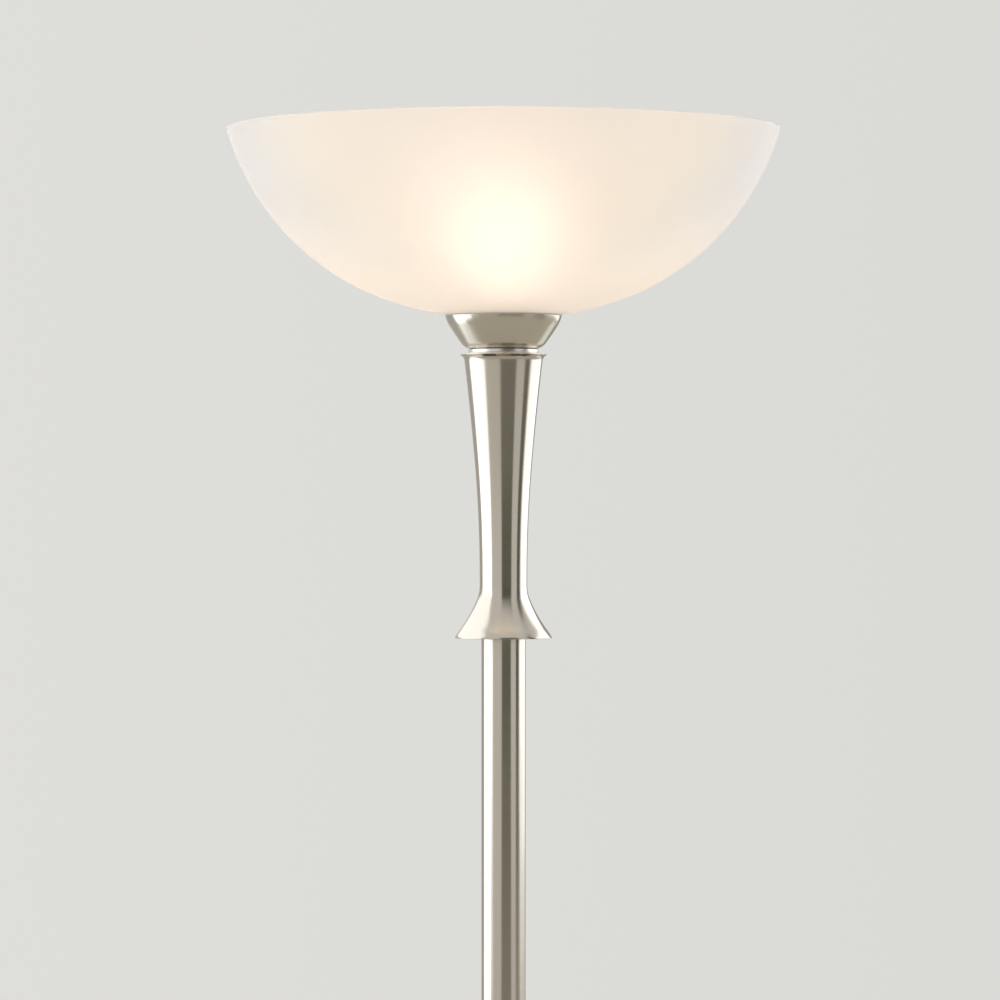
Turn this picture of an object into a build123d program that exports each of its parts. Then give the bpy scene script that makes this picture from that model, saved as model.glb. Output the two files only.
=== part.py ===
from build123d import *
import os
from math import asin, degrees, sqrt

# A torchiere floor lamp: a wide opal glass bowl on a long trumpet-shaped column head,
# and a reading light on an arm that swings round the pole.
# Millimetres, +Z up. The origin is the middle of the foot, on the floor. The pole stands
# on the Z axis, the reading arm points along +X and the dimmer knob faces -Y.

os.makedirs("parts", exist_ok=True)

# ------------------------------------------------------------------ driving dimensions

# Fits
fixed_gap = 0.05  # radial gap of a screwed or plugged pair that stays put
running_gap = 0.05  # radial gap of a shaft that turns in its hole
end_play = 0.2  # gap along the axis of a piece that turns between two faces
overcut = 1.0  # how far a cut runs past the face that it opens

# Threaded steel pipe, with its nuts and washers, which holds the foot and the lamp head
pipe_radius = 4.85
pipe_bore = 3.6
nut_flats = 15.0
nut_height = 6.0
washer_radius = 14.0
washer_thickness = 1.5
lead_radius = 1.2
lead_spacing = 2.6

# Foot
pad_radius = 126.0
pad_thickness = 2.0
cover_radius = 140.0
cover_wall = 1.0
cover_floor_gap = 1.0
cover_side_height = 17.0
shoulder_width = 7.0
shoulder_rise = 8.5
crown_radius = 50.0
crown_height = 35.0
weight_edge_gap = 13.0
weight_edge_height = 18.0
recess_radius = 18.0
recess_depth = 12.0
pipe_stub = 2.0
inlet_height = 9.5
inlet_bore = 3.3
inlet_wall = 1.65
inlet_depth = 8.0
inlet_flange_radius = 6.5
inlet_flange = 2.0
inlet_edge = 0.8
channel_width = 10.0

# Flared skirt at the foot of the pole
skirt_radius = 46.0
skirt_height = 76.0
skirt_wall = 1.0
skirt_bead = 1.6
skirt_straight = 24.0

# Pole
pole_radius = 16.0
pole_wall = 1.2
lower_pole_length = 335.0
middle_pole_length = 335.0
switch_pole_length = 329.0
upper_pole_length = 397.8
plug_height = 20.0
joiner_flange = 2.0
joiner_spigot = 25.0
joiner_bore = 9.0

# Dimmer switch in the pole
dimmer_drop = 78.0
dimmer_width = 18.0
dimmer_depth = 9.0
dimmer_length = 28.0
dimmer_front = 10.5
dimmer_bush_radius = 4.9
dimmer_bush_proud = 1.0
dimmer_shaft_radius = 3.0
saddle_radius = 10.0
saddle_height = 3.0
dimmer_nut_flats = 14.0
dimmer_nut_height = 3.0
dimmer_knob_radius = 9.5
dimmer_knob_length = 15.0
dimmer_shaft_reach = 11.25
knob_taper = 3.0
knob_gap = 0.6
flute_radius = 1.2
flute_outset = 0.4
flute_count = 12

# Hub of the reading arm
hub_flange = 4.0
slip_washer = 1.0
collar_height = 34.0
collar_radius = 21.0
collar_edge = 2.5
journal_radius = 13.0
neck_radius = 10.0
core_bore = 6.0
hub_spigot = 26.0
wire_groove_depth = 4.0
wire_groove_height = 8.0
wire_hole = 2.6
stop_drop = 10.0
stop_groove_depth = 2.2
stop_groove_height = 5.0
stop_key_width = 6.0
stop_screw_radius = 1.8
stop_clearance = 0.4

# Reading arm
boss_radius = 9.5
boss_reach = 37.0
arm_seat = 23.0
arm_radius = 6.0
arm_wall = 1.0
arm_first_run = 120.0
arm_rise_run = 185.0
arm_rise = 45.0
arm_end = 285.0
arm_bend = 70.0
arm_lead_radius = 2.4
grub_radius = 2.0

# Knuckle between arm and head
knuckle_radius = 8.0
fork_spigot = 10.0
fork_shank = 12.0
fork_reach = 14.0
fork_half_width = 8.0
eye_thickness = 6.0
tongue_width = 10.0
friction_washer = 0.8
friction_washer_radius = 7.0
knuckle_bolt_radius = 2.5
bolt_head_radius = 5.0
bolt_head_height = 3.0
bolt_head_edge = 1.8
spring_washer = 1.0
spring_washer_radius = 6.0
thumb_nut_radius = 8.5
thumb_nut_height = 7.0
bolt_end = 1.0
tongue_drop = 16.0
stem_radius = 6.0
stem_height = 4.0
stem_pipe_radius = 3.0
stem_pipe_length = 14.0
stem_nut_flats = 10.0
stem_nut_height = 5.0

# Head of the reading light
head_cup_radius = 19.0
head_cup_height = 46.0
head_cup_shoulder = 13.0
head_cup_wall = 1.0
head_socket_radius = 14.5
head_socket_length = 53.0
head_socket_wall = 5.0
head_shade_radius = 62.0
head_shade_depth = 72.0
head_shade_crown = 45.0
head_shade_reach = 30.0
head_shade_wall = 3.0
shade_hole_gap = 0.5
head_ring_radius = 20.0
head_ring_height = 5.0
head_bulb_cap_radius = 8.3
head_bulb_cap_length = 24.0
head_bulb_radius = 22.0
head_bulb_length = 43.0
head_bulb_face = 12.0
switch_drop = 29.0
switch_bush_radius = 4.0
switch_flange_radius = 5.5
switch_flange = 1.5
switch_shaft_radius = 1.6
switch_knob_width = 15.0
switch_knob_thickness = 6.5
switch_knob_length = 12.0
switch_knob_taper = 2.0
switch_knob_edge = 1.0
shell_wall = 0.4
contact_height = 2.0
contact_radius = 3.0
tip_radius = 4.0
tip_height = 4.0

# Trumpet-shaped column head
pole_insertion = 47.5
trumpet_height = 204.8
trumpet_wall = 1.0
trumpet_lip_radius = 31.8
trumpet_lip_bead = 1.0
trumpet_waist_radius = 17.2
trumpet_waist_height = 42.8
trumpet_bell_radius = 35.15
trumpet_throat_radius = 28.2
trumpet_taper_radius = 20.8
trumpet_taper_drop = 78.0
trumpet_straight = 5.0
trumpet_flare_radius = 19.1
trumpet_flare_height = 28.1
bell_turn_radius = 33.9
bell_turn_height = 5.2
bell_edge_height = 2.1
lip_drop = 2.6
lip_proud = 0.2

# Neck collar and fitter cup
neck_height = 4.0
neck_top_radius = 23.5
neck_foot_radius = 27.5
neck_edge = 0.8
cup_radius = 42.5
cup_foot_radius = 24.0
cup_foot_turn = (27.6, 1.5)
cup_height = 23.8
cup_wall = 1.2
cup_bead = 1.2
gasket_thickness = 0.8
gasket_width = 1.8

# Glass bowl
glass_edge = 0.2  # radius on both edges of a glass rim, as a share of the wall
bowl_radius = 200.0
bowl_depth = 137.5
bowl_crown = 258.65
bowl_reach = 81.0
bowl_wall = 4.0
clamp_washer_width = 7.0
clamp_washer_thickness = 1.2
clamp_ring_height = 5.0

# Main socket and bulb
socket_radius = 19.5
socket_height = 38.0
socket_wall = 5.1
socket_floor = 9.0
bulb_cap_radius = 13.2
bulb_cap_length = 27.0
bulb_radius = 30.0
bulb_length = 80.0
bulb_neck_radius = 14.2
bulb_neck_height = 6.0

# ------------------------------------------------------------------------ derived sizes

pipe_hole = pipe_radius + fixed_gap
tube_bore = pole_radius - pole_wall
spigot_radius = tube_bore - fixed_gap

crown_underside = crown_height - cover_wall
weight_radius = cover_radius - cover_wall - weight_edge_gap
recess_top = pad_thickness + recess_depth
foot_nut_bottom = recess_top - washer_thickness - nut_height

lower_pole_top = crown_height + lower_pole_length
middle_pole_bottom = lower_pole_top + joiner_flange
middle_pole_top = middle_pole_bottom + middle_pole_length
switch_pole_bottom = middle_pole_top + joiner_flange
hub_bottom = switch_pole_bottom + switch_pole_length
dimmer_height = hub_bottom - dimmer_drop

collar_bottom = hub_bottom + hub_flange + slip_washer
collar_top = collar_bottom + collar_height
hub_cap_bottom = collar_top + end_play + slip_washer
upper_pole_bottom = hub_cap_bottom + hub_flange
upper_pole_top = upper_pole_bottom + upper_pole_length
arm_height = collar_bottom + collar_height / 2

slot_root = arm_end + fork_shank
pin_x = slot_root + fork_reach
pin_z = arm_height + arm_rise
eye_half = eye_thickness / 2
slot_half = eye_half + end_play / 2 + friction_washer
thumb_nut_back = fork_half_width + spring_washer + end_play

trumpet_bottom = upper_pole_top - pole_insertion
trumpet_top = trumpet_bottom + trumpet_height
cup_bottom = trumpet_top + neck_height
cup_rim = cup_bottom + cup_height
cup_floor = cup_bottom + cup_wall
socket_bottom = cup_floor + washer_thickness + nut_height
pipe_top = socket_bottom + pipe_stub * 2


def sagitta(radius, reach):
    """Depth of a circular arc of this radius at this distance from its axis."""
    return radius - sqrt(radius**2 - reach**2)


def save(piece, label):
    """Label a finished sub-part and write it."""
    piece.part.label = label
    export_step(piece.part, f"parts/{label}.step")


def sleeve(outer, inner, height, *planes):
    """Plain tubes, washers or rods, one standing on each plane."""
    with BuildPart() as piece:
        for plane in planes:
            with BuildSketch(plane):
                Circle(outer)
                if inner:
                    Circle(inner, mode=Mode.SUBTRACT)
            extrude(amount=height)
    return piece


def hex_nut(flats, hole, height, *planes):
    """Plain hexagon nuts, one standing on each plane."""
    with BuildPart() as piece:
        for plane in planes:
            with BuildSketch(plane):
                RegularPolygon(flats / 2, 6, major_radius=False)
                Circle(hole, mode=Mode.SUBTRACT)
            extrude(amount=height)
    return piece


def turned(plane, *outline):
    """A turned piece: a closed outline of (radius, height) points round the plane's upright axis."""
    with BuildPart() as piece:
        with BuildSketch(plane):
            with BuildLine():
                Polyline(*outline, close=True)
            make_face()
        revolve(axis=Axis(plane.origin, plane.y_dir))
    return piece


def glass_shade(plane, hole, crown, reach, rim, depth, wall):
    """A blown glass shade round the plane's Y axis, with its crown at the plane's origin.

    A shallow crown arc runs tangent into the side arc, and the mouth opens along +Y.
    The hole is measured on the inner face, where it is narrowest.
    """
    hole_angle = degrees(asin(hole / (crown - wall)))
    reach_angle = degrees(asin(reach / crown))
    with BuildPart() as shade:
        with BuildSketch(plane) as section:
            with BuildLine():
                crown_arc = CenterArc((0, crown), crown, hole_angle - 90, reach_angle - hole_angle)
                TangentArc(crown_arc @ 1, (rim, depth), tangent=crown_arc % 1)
                offset(amount=wall, side=Side.LEFT)
            make_face()
            fillet(section.vertices().sort_by(Axis.Y)[-2:], radius=glass_edge * wall)
        revolve(axis=Axis(plane.origin, plane.y_dir))
    return shade


def screw_socket(plane, outer, cavity, length, floor, hole, hole_depth):
    """A moulded lampholder: a cup open at the top, with a blind threaded hole below."""
    return turned(
        plane,
        (0, hole_depth),
        (hole, hole_depth),
        (hole, 0),
        (outer, 0),
        (outer, length),
        (cavity, length),
        (cavity, floor),
        (0, floor),
    )


def bulb_cap(plane, cap_radius, length):
    """A lamp cap: a shell with its insulated tip, open downwards on the plane."""
    return turned(
        plane,
        (0, 0),
        (tip_radius, 0),
        (cap_radius, tip_height),
        (cap_radius, length),
        (0, length),
    )


# --------------------------------------------------------------------------------- foot

# Felt pad that carries the lamp and covers the nut's recess
base_pad = sleeve(pad_radius, 0, pad_thickness, Plane.XY)
save(base_pad, "base_pad")

# Cast iron weight, with a recess for the nut and a channel for the cord on its underside
with BuildPart() as base_weight:
    with BuildSketch(Plane.XZ):
        with BuildLine():
            Polyline(
                (pipe_hole, recess_top),
                (recess_radius, recess_top),
                (recess_radius, pad_thickness),
                (weight_radius, pad_thickness),
                (weight_radius, pad_thickness + weight_edge_height),
                (crown_radius, crown_underside),
                (pipe_hole, crown_underside),
                close=True,
            )
        make_face()
    revolve(axis=Axis.Z)
    with BuildSketch(Plane.XY.offset(pad_thickness)):
        Rectangle(channel_width, weight_radius + overcut, align=(Align.CENTER, Align.MIN))
    extrude(amount=recess_depth, mode=Mode.SUBTRACT)
save(base_weight, "base_weight")

# Spun steel cover over the weight, with the cord's hole at the rear
inlet_plane = Plane(origin=(0, cover_radius, inlet_height), x_dir=(-1, 0, 0), z_dir=(0, 1, 0))
inlet_radius = inlet_bore + inlet_wall
with BuildPart() as base_cover:
    with BuildSketch(Plane.XZ):
        with BuildLine():
            side_top = cover_floor_gap + cover_side_height
            side = Line((cover_radius, cover_floor_gap), (cover_radius, side_top))
            shoulder_end = (cover_radius - shoulder_width, side_top + shoulder_rise)
            shoulder = TangentArc(side @ 1, shoulder_end, tangent=side % 1)
            dome = TangentArc(shoulder @ 1, (crown_radius, crown_height), tangent=shoulder % 1)
            Line(dome @ 1, (pipe_hole, crown_height))
            offset(amount=cover_wall, side=Side.LEFT)
        make_face()
    revolve(axis=Axis.Z)
    with BuildSketch(inlet_plane):
        Circle(inlet_radius + fixed_gap)
    extrude(amount=inlet_depth, both=True, mode=Mode.SUBTRACT)
save(base_cover, "base_cover")

# Bushing that the mains cord comes in through
with BuildPart() as cord_bushing:
    with BuildSketch(inlet_plane):
        Circle(inlet_flange_radius)
    extrude(amount=inlet_flange)
    fillet(cord_bushing.faces().sort_by(Axis.Y)[-1].edges(), radius=inlet_edge)
    with BuildSketch(inlet_plane):
        Circle(inlet_radius)
    extrude(amount=-inlet_depth)
    with BuildSketch(inlet_plane.offset(-inlet_depth)):
        Circle(inlet_bore)
    extrude(amount=inlet_depth + inlet_flange, mode=Mode.SUBTRACT)
save(cord_bushing, "cord_bushing")

# Short pipe that pulls the pole down on the weight
foot_pipe_bottom = foot_nut_bottom - pipe_stub
foot_pipe_top = crown_height + plug_height - pipe_stub
foot_pipe_length = foot_pipe_top - foot_pipe_bottom
foot_pipe = sleeve(pipe_radius, pipe_bore, foot_pipe_length, Plane.XY.offset(foot_pipe_bottom))
save(foot_pipe, "foot_pipe")

# Flared skirt that stands on the cover round the pole
skirt_top = crown_height + skirt_height
skirt_neck = pole_radius + skirt_wall + end_play
with BuildPart() as pole_skirt:
    with BuildSketch(Plane.XZ):
        with BuildLine():
            foot_point = (skirt_radius - skirt_bead, crown_height + skirt_bead)
            neck_foot = (skirt_neck, skirt_top - skirt_straight)
            neck = Line((skirt_neck, skirt_top - skirt_bead), neck_foot)
            TangentArc(neck @ 1, foot_point, tangent=neck % 1)
            offset(amount=skirt_wall, side=Side.RIGHT)
        make_face()
        with Locations(foot_point, (pole_radius + end_play + skirt_bead, skirt_top - skirt_bead)):
            Circle(skirt_bead)
    revolve(axis=Axis.Z)
save(pole_skirt, "pole_skirt")

# --------------------------------------------------------------------------------- pole

pole_sections = {
    "lower_pole": (crown_height, lower_pole_length),
    "middle_pole": (middle_pole_bottom, middle_pole_length),
    "upper_pole": (upper_pole_bottom, upper_pole_length),
}
for section_name, (section_bottom, section_length) in pole_sections.items():
    tube = sleeve(pole_radius, tube_bore, section_length, Plane.XY.offset(section_bottom))
    save(tube, section_name)

# Section with the dimmer's hole at the front
dimmer_plane = Plane(origin=(0, 0, dimmer_height), x_dir=(1, 0, 0), z_dir=(0, -1, 0))
dimmer_hole = dimmer_bush_radius + fixed_gap
with BuildPart() as switch_pole:
    with BuildSketch(Plane.XY.offset(switch_pole_bottom)):
        Circle(pole_radius)
        Circle(tube_bore, mode=Mode.SUBTRACT)
    extrude(amount=switch_pole_length)
    with BuildSketch(dimmer_plane):
        Circle(dimmer_hole)
    extrude(amount=pole_radius + overcut, mode=Mode.SUBTRACT)
save(switch_pole, "switch_pole")

# Joiners that the tubes screw together on, seen only as a fine ring
for joiner_name, seam in (("lower_joiner", lower_pole_top), ("middle_joiner", middle_pole_top)):
    joiner = turned(
        Plane.XZ,
        (joiner_bore, seam - joiner_spigot),
        (spigot_radius, seam - joiner_spigot),
        (spigot_radius, seam),
        (pole_radius, seam),
        (pole_radius, seam + joiner_flange),
        (spigot_radius, seam + joiner_flange),
        (spigot_radius, seam + joiner_flange + joiner_spigot),
        (joiner_bore, seam + joiner_flange + joiner_spigot),
    )
    save(joiner, joiner_name)

# Threaded plugs in both ends of the pole
foot_plug = sleeve(spigot_radius, pipe_hole, plug_height, Plane.XY.offset(crown_height))
save(foot_plug, "foot_plug")
head_plug_bottom = upper_pole_top - plug_height
head_plug = sleeve(spigot_radius, pipe_hole, plug_height, Plane.XY.offset(head_plug_bottom))
save(head_plug, "head_plug")

# ------------------------------------------------------------------------ dimmer switch

nut_seat = pole_radius + saddle_height
dimmer_bush_end = nut_seat + dimmer_nut_height + dimmer_bush_proud
knob_back = dimmer_bush_end + knob_gap
shaft_back = dimmer_front
shaft_front = knob_back + dimmer_shaft_reach

with BuildPart() as dimmer_body:
    with BuildSketch(dimmer_plane.offset(dimmer_front)):
        Rectangle(dimmer_width, dimmer_length)
    extrude(amount=-dimmer_depth)
    with BuildSketch(dimmer_plane.offset(dimmer_front)):
        Circle(dimmer_bush_radius)
        Circle(dimmer_shaft_radius + running_gap, mode=Mode.SUBTRACT)
    extrude(amount=dimmer_bush_end - dimmer_front)
save(dimmer_body, "dimmer_body")

# Saddle that turns the round pole into a flat seat for the nut
with BuildPart() as dimmer_saddle:
    with BuildSketch(dimmer_plane.offset(tube_bore)):
        Circle(saddle_radius)
        Circle(dimmer_hole, mode=Mode.SUBTRACT)
    extrude(amount=nut_seat - tube_bore)
    with BuildSketch(Plane.XY.offset(dimmer_height - dimmer_length)):
        Circle(pole_radius)
    extrude(amount=2 * dimmer_length, mode=Mode.SUBTRACT)
save(dimmer_saddle, "dimmer_saddle")

dimmer_nut = hex_nut(dimmer_nut_flats, dimmer_hole, dimmer_nut_height, dimmer_plane.offset(nut_seat))
save(dimmer_nut, "dimmer_nut")

dimmer_shaft_length = shaft_front - shaft_back
dimmer_shaft = sleeve(dimmer_shaft_radius, 0, dimmer_shaft_length, dimmer_plane.offset(shaft_back))
save(dimmer_shaft, "dimmer_shaft")

with BuildPart() as dimmer_knob:
    with BuildSketch(dimmer_plane.offset(knob_back)):
        Circle(dimmer_knob_radius)
        with PolarLocations(dimmer_knob_radius + flute_outset, flute_count):
            Circle(flute_radius, mode=Mode.SUBTRACT)
    extrude(amount=dimmer_knob_length, taper=knob_taper)
    with BuildSketch(dimmer_plane.offset(knob_back)):
        Circle(dimmer_shaft_radius + fixed_gap)
    extrude(amount=shaft_front - knob_back, mode=Mode.SUBTRACT)
save(dimmer_knob, "dimmer_knob")

# --------------------------------------------------------------------- reading arm's hub

# Core that joins two pole sections and carries the turning collar
with BuildPart() as hub_core:
    with BuildSketch(Plane.XZ):
        with BuildLine():
            Polyline(
                (core_bore, hub_bottom - hub_spigot),
                (spigot_radius, hub_bottom - hub_spigot),
                (spigot_radius, hub_bottom),
                (pole_radius, hub_bottom),
                (pole_radius, hub_bottom + hub_flange),
                (journal_radius, hub_bottom + hub_flange),
                (journal_radius, hub_cap_bottom),
                (neck_radius, hub_cap_bottom),
                (neck_radius, upper_pole_bottom + hub_spigot),
                (core_bore, upper_pole_bottom + hub_spigot),
                close=True,
            )
        make_face()
    revolve(axis=Axis.Z)
    # Ring groove where the lead winds as the arm turns, and its hole into the core
    with BuildSketch(Plane.XY.offset(arm_height - wire_groove_height / 2)):
        Circle(journal_radius)
        Circle(journal_radius - wire_groove_depth, mode=Mode.SUBTRACT)
    extrude(amount=wire_groove_height, mode=Mode.SUBTRACT)
    with BuildSketch(Plane(origin=(0, 0, arm_height), z_dir=(1, 0, 0))):
        Circle(wire_hole)
    extrude(amount=journal_radius, mode=Mode.SUBTRACT)
    # Groove for the stop screw, with a key left standing that it meets at both ends
    with BuildSketch(Plane.XY.offset(arm_height - stop_drop - stop_groove_height / 2)):
        Circle(journal_radius)
        Circle(journal_radius - stop_groove_depth, mode=Mode.SUBTRACT)
        Rectangle(
            journal_radius,
            stop_key_width,
            align=(Align.MIN, Align.CENTER),
            mode=Mode.SUBTRACT,
        )
    extrude(amount=stop_groove_height, mode=Mode.SUBTRACT)
save(hub_core, "hub_core")

hub_cap = turned(
    Plane.XZ,
    (neck_radius + fixed_gap, hub_cap_bottom),
    (pole_radius, hub_cap_bottom),
    (pole_radius, upper_pole_bottom),
    (spigot_radius, upper_pole_bottom),
    (spigot_radius, upper_pole_bottom + hub_spigot),
    (neck_radius + fixed_gap, upper_pole_bottom + hub_spigot),
)
save(hub_cap, "hub_cap")

slip_washers = sleeve(
    pole_radius,
    journal_radius + running_gap,
    slip_washer,
    Plane.XY.offset(collar_bottom - slip_washer),
    Plane.XY.offset(collar_top + end_play),
)
save(slip_washers, "slip_washers")


def across(x):
    """The plane square to the arm's root at this distance from the pole's axis."""
    return Plane(origin=(x, 0, arm_height), x_dir=(0, 1, 0), z_dir=(1, 0, 0))


stop_height = arm_height - stop_drop
stop_plane = Plane(origin=(-collar_radius, 0, stop_height), z_dir=(1, 0, 0))
stop_tip = journal_radius - stop_groove_depth + stop_clearance
grub_plane = Plane.XY.offset(arm_height - boss_radius)
grub_x = (arm_seat + boss_reach) / 2

# Collar that turns on the core, with a boss for the arm
with BuildPart() as arm_collar:
    with BuildSketch(Plane.XY.offset(collar_bottom)):
        Circle(collar_radius)
    extrude(amount=collar_height)
    fillet(arm_collar.edges().filter_by(GeomType.CIRCLE), radius=collar_edge)
    with BuildSketch(across(journal_radius)):
        Circle(boss_radius)
    extrude(amount=boss_reach - journal_radius)
    fillet(arm_collar.faces().sort_by(Axis.X)[-1].edges(), radius=collar_edge / 2)
    with BuildSketch(Plane.XY.offset(collar_bottom)):
        Circle(journal_radius + running_gap)
    extrude(amount=collar_height, mode=Mode.SUBTRACT)
    with BuildSketch(across(arm_seat)):
        Circle(arm_radius + fixed_gap)
    extrude(amount=boss_reach - arm_seat, mode=Mode.SUBTRACT)
    with BuildSketch(across(0)):
        Circle(wire_hole)
    extrude(amount=arm_seat, mode=Mode.SUBTRACT)
    with BuildSketch(stop_plane):
        Circle(stop_screw_radius + fixed_gap)
    extrude(amount=collar_radius, mode=Mode.SUBTRACT)
    with BuildSketch(grub_plane):
        with Locations((grub_x, 0)):
            Circle(grub_radius + fixed_gap)
    extrude(amount=boss_radius, mode=Mode.SUBTRACT)
save(arm_collar, "arm_collar")

stop_screw = sleeve(stop_screw_radius, 0, collar_radius - stop_tip, stop_plane)
save(stop_screw, "stop_screw")

with BuildPart() as arm_grub_screw:
    with BuildSketch(grub_plane):
        with Locations((grub_x, 0)):
            Circle(grub_radius)
    extrude(amount=boss_radius - arm_radius)
save(arm_grub_screw, "arm_grub_screw")

# -------------------------------------------------------------------------- reading arm


def arm_route(start, end):
    """Centre line of the arm: level, rising through two equal bends, then level again."""
    return FilletPolyline(
        (start, arm_height),
        (arm_first_run, arm_height),
        (arm_rise_run, pin_z),
        (end, pin_z),
        radius=arm_bend,
    )


with BuildPart() as reading_arm:
    with BuildLine(Plane.XZ):
        arm_route(arm_seat, arm_end)
    with BuildSketch(across(arm_seat)):
        Circle(arm_radius)
        Circle(arm_radius - arm_wall, mode=Mode.SUBTRACT)
    sweep()
save(reading_arm, "reading_arm")

# Two-core lead inside the arm, from the collar's hole to the fork's
with BuildPart() as arm_lead:
    with BuildLine(Plane.XZ):
        arm_route(journal_radius, slot_root)
    with BuildSketch(across(journal_radius)):
        Circle(arm_lead_radius)
    sweep()
save(arm_lead, "arm_lead")

# ------------------------------------------------------------------------------ knuckle

knuckle_plane = Plane(origin=(pin_x, 0, pin_z), x_dir=(1, 0, 0), z_dir=(0, -1, 0))
arm_end_plane = Plane(origin=(arm_end, 0, pin_z), x_dir=(0, 1, 0), z_dir=(1, 0, 0))
bolt_hole = knuckle_bolt_radius + running_gap

with BuildPart() as knuckle_fork:
    with BuildSketch(arm_end_plane):
        Circle(arm_radius - arm_wall - fixed_gap)
    extrude(amount=-fork_spigot)
    with BuildSketch(arm_end_plane):
        Circle(knuckle_radius)
    extrude(amount=fork_shank + fork_reach)
    with BuildSketch(knuckle_plane):
        Circle(knuckle_radius)
    extrude(amount=fork_half_width, both=True)
    with BuildSketch(knuckle_plane):
        with Locations((-fork_reach, 0)):
            Rectangle(2 * pin_x, 4 * knuckle_radius, align=(Align.MIN, Align.CENTER))
    extrude(amount=slot_half, both=True, mode=Mode.SUBTRACT)
    with BuildSketch(knuckle_plane):
        Circle(bolt_hole)
    extrude(amount=fork_half_width, both=True, mode=Mode.SUBTRACT)
    with BuildSketch(arm_end_plane.offset(-fork_spigot)):
        Circle(arm_lead_radius + fixed_gap)
    extrude(amount=fork_spigot + fork_shank, mode=Mode.SUBTRACT)
save(knuckle_fork, "knuckle_fork")

# Eye, tongue and stem of the head, in one turned and milled piece
head_plane = Plane(origin=(pin_x, 0, pin_z))
stem_top_plane = head_plane.offset(-tongue_drop)
cup_top_plane = stem_top_plane.offset(-stem_height)
with BuildPart() as knuckle_eye:
    with BuildSketch(knuckle_plane):
        Circle(knuckle_radius)
        Rectangle(tongue_width, tongue_drop + stem_height, align=(Align.CENTER, Align.MAX))
    extrude(amount=eye_half, both=True)
    with BuildSketch(stem_top_plane):
        Circle(stem_radius)
    extrude(amount=-stem_height)
    with BuildSketch(cup_top_plane):
        Circle(stem_pipe_radius)
    extrude(amount=-stem_pipe_length)
    with BuildSketch(knuckle_plane):
        Circle(bolt_hole)
    extrude(amount=eye_half, both=True, mode=Mode.SUBTRACT)
save(knuckle_eye, "knuckle_eye")

friction_washers = sleeve(
    friction_washer_radius,
    bolt_hole,
    friction_washer,
    knuckle_plane.offset(-slot_half),
    knuckle_plane.offset(slot_half - friction_washer),
)
save(friction_washers, "friction_washers")

bolt_front = thumb_nut_back + thumb_nut_height + bolt_end
with BuildPart() as knuckle_bolt:
    with BuildSketch(knuckle_plane.offset(-fork_half_width)):
        Circle(bolt_head_radius)
    extrude(amount=-bolt_head_height)
    fillet(knuckle_bolt.faces().sort_by(Axis.Y)[-1].edges(), radius=bolt_head_edge)
    with BuildSketch(knuckle_plane.offset(-fork_half_width)):
        Circle(knuckle_bolt_radius)
    extrude(amount=fork_half_width + bolt_front)
save(knuckle_bolt, "knuckle_bolt")

spring_disc = sleeve(
    spring_washer_radius,
    bolt_hole,
    spring_washer,
    knuckle_plane.offset(fork_half_width),
)
save(spring_disc, "spring_washer")

with BuildPart() as thumb_nut:
    with BuildSketch(knuckle_plane.offset(thumb_nut_back)):
        Circle(thumb_nut_radius)
        with PolarLocations(thumb_nut_radius + flute_outset, flute_count):
            Circle(flute_radius, mode=Mode.SUBTRACT)
        Circle(bolt_hole, mode=Mode.SUBTRACT)
    extrude(amount=thumb_nut_height)
save(thumb_nut, "thumb_nut")

# ----------------------------------------------------------------------- reading head

# Sections of the head are drawn downwards from the cup's top, with +Y pointing down
head_section = Plane(origin=cup_top_plane.origin, x_dir=(1, 0, 0), z_dir=(0, 1, 0))
head_axis = Axis(cup_top_plane.origin, (0, 0, 1))
switch_plane = Plane(
    origin=(pin_x, 0, cup_top_plane.origin.Z - switch_drop),
    x_dir=(0, 1, 0),
    z_dir=(1, 0, 0),
)

with BuildPart() as head_cup:
    with BuildSketch(head_section):
        with BuildLine():
            shoulder_start = head_cup_radius - head_cup_shoulder
            top = Line((stem_pipe_radius + fixed_gap, 0), (shoulder_start, 0))
            turn = TangentArc(top @ 1, (head_cup_radius, head_cup_shoulder), tangent=(1, 0))
            Line(turn @ 1, (head_cup_radius, head_cup_height))
            offset(amount=head_cup_wall, side=Side.LEFT)
        make_face()
    revolve(axis=head_axis)
    with BuildSketch(switch_plane):
        Circle(switch_bush_radius + fixed_gap)
    extrude(amount=head_cup_radius + overcut, mode=Mode.SUBTRACT)
save(head_cup, "head_cup")

# The glass rests against the cup's rim, so its crown lies inside the cup
head_cup_bore = head_cup_radius - head_cup_wall
head_crown_height = head_cup_height - sagitta(head_shade_crown, head_cup_bore)
shade_section = Plane(
    origin=(pin_x, 0, cup_top_plane.origin.Z - head_crown_height),
    x_dir=(1, 0, 0),
    z_dir=(0, 1, 0),
)
head_shade_hole = head_socket_radius + shade_hole_gap
head_shade = glass_shade(
    shade_section,
    head_shade_hole,
    head_shade_crown,
    head_shade_reach,
    head_shade_radius,
    head_shade_depth,
    head_shade_wall,
)
save(head_shade, "head_shade")

head_cavity = head_socket_radius - head_socket_wall
socket_drop = head_cup_wall + stem_nut_height
head_socket_section = Plane(
    origin=(pin_x, 0, cup_top_plane.origin.Z - socket_drop),
    x_dir=(1, 0, 0),
    z_dir=(0, 1, 0),
)
cap_mouth = head_socket_length
cap_floor = cap_mouth - head_bulb_cap_length
head_socket = screw_socket(
    head_socket_section,
    head_socket_radius,
    head_cavity,
    head_socket_length,
    cap_floor - contact_height,
    stem_pipe_radius + fixed_gap,
    stem_pipe_length - socket_drop,
)
save(head_socket, "head_socket")
stem_nut = hex_nut(
    stem_nut_flats,
    stem_pipe_radius + fixed_gap,
    stem_nut_height,
    cup_top_plane.offset(-socket_drop),
)
save(stem_nut, "stem_nut")

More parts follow.
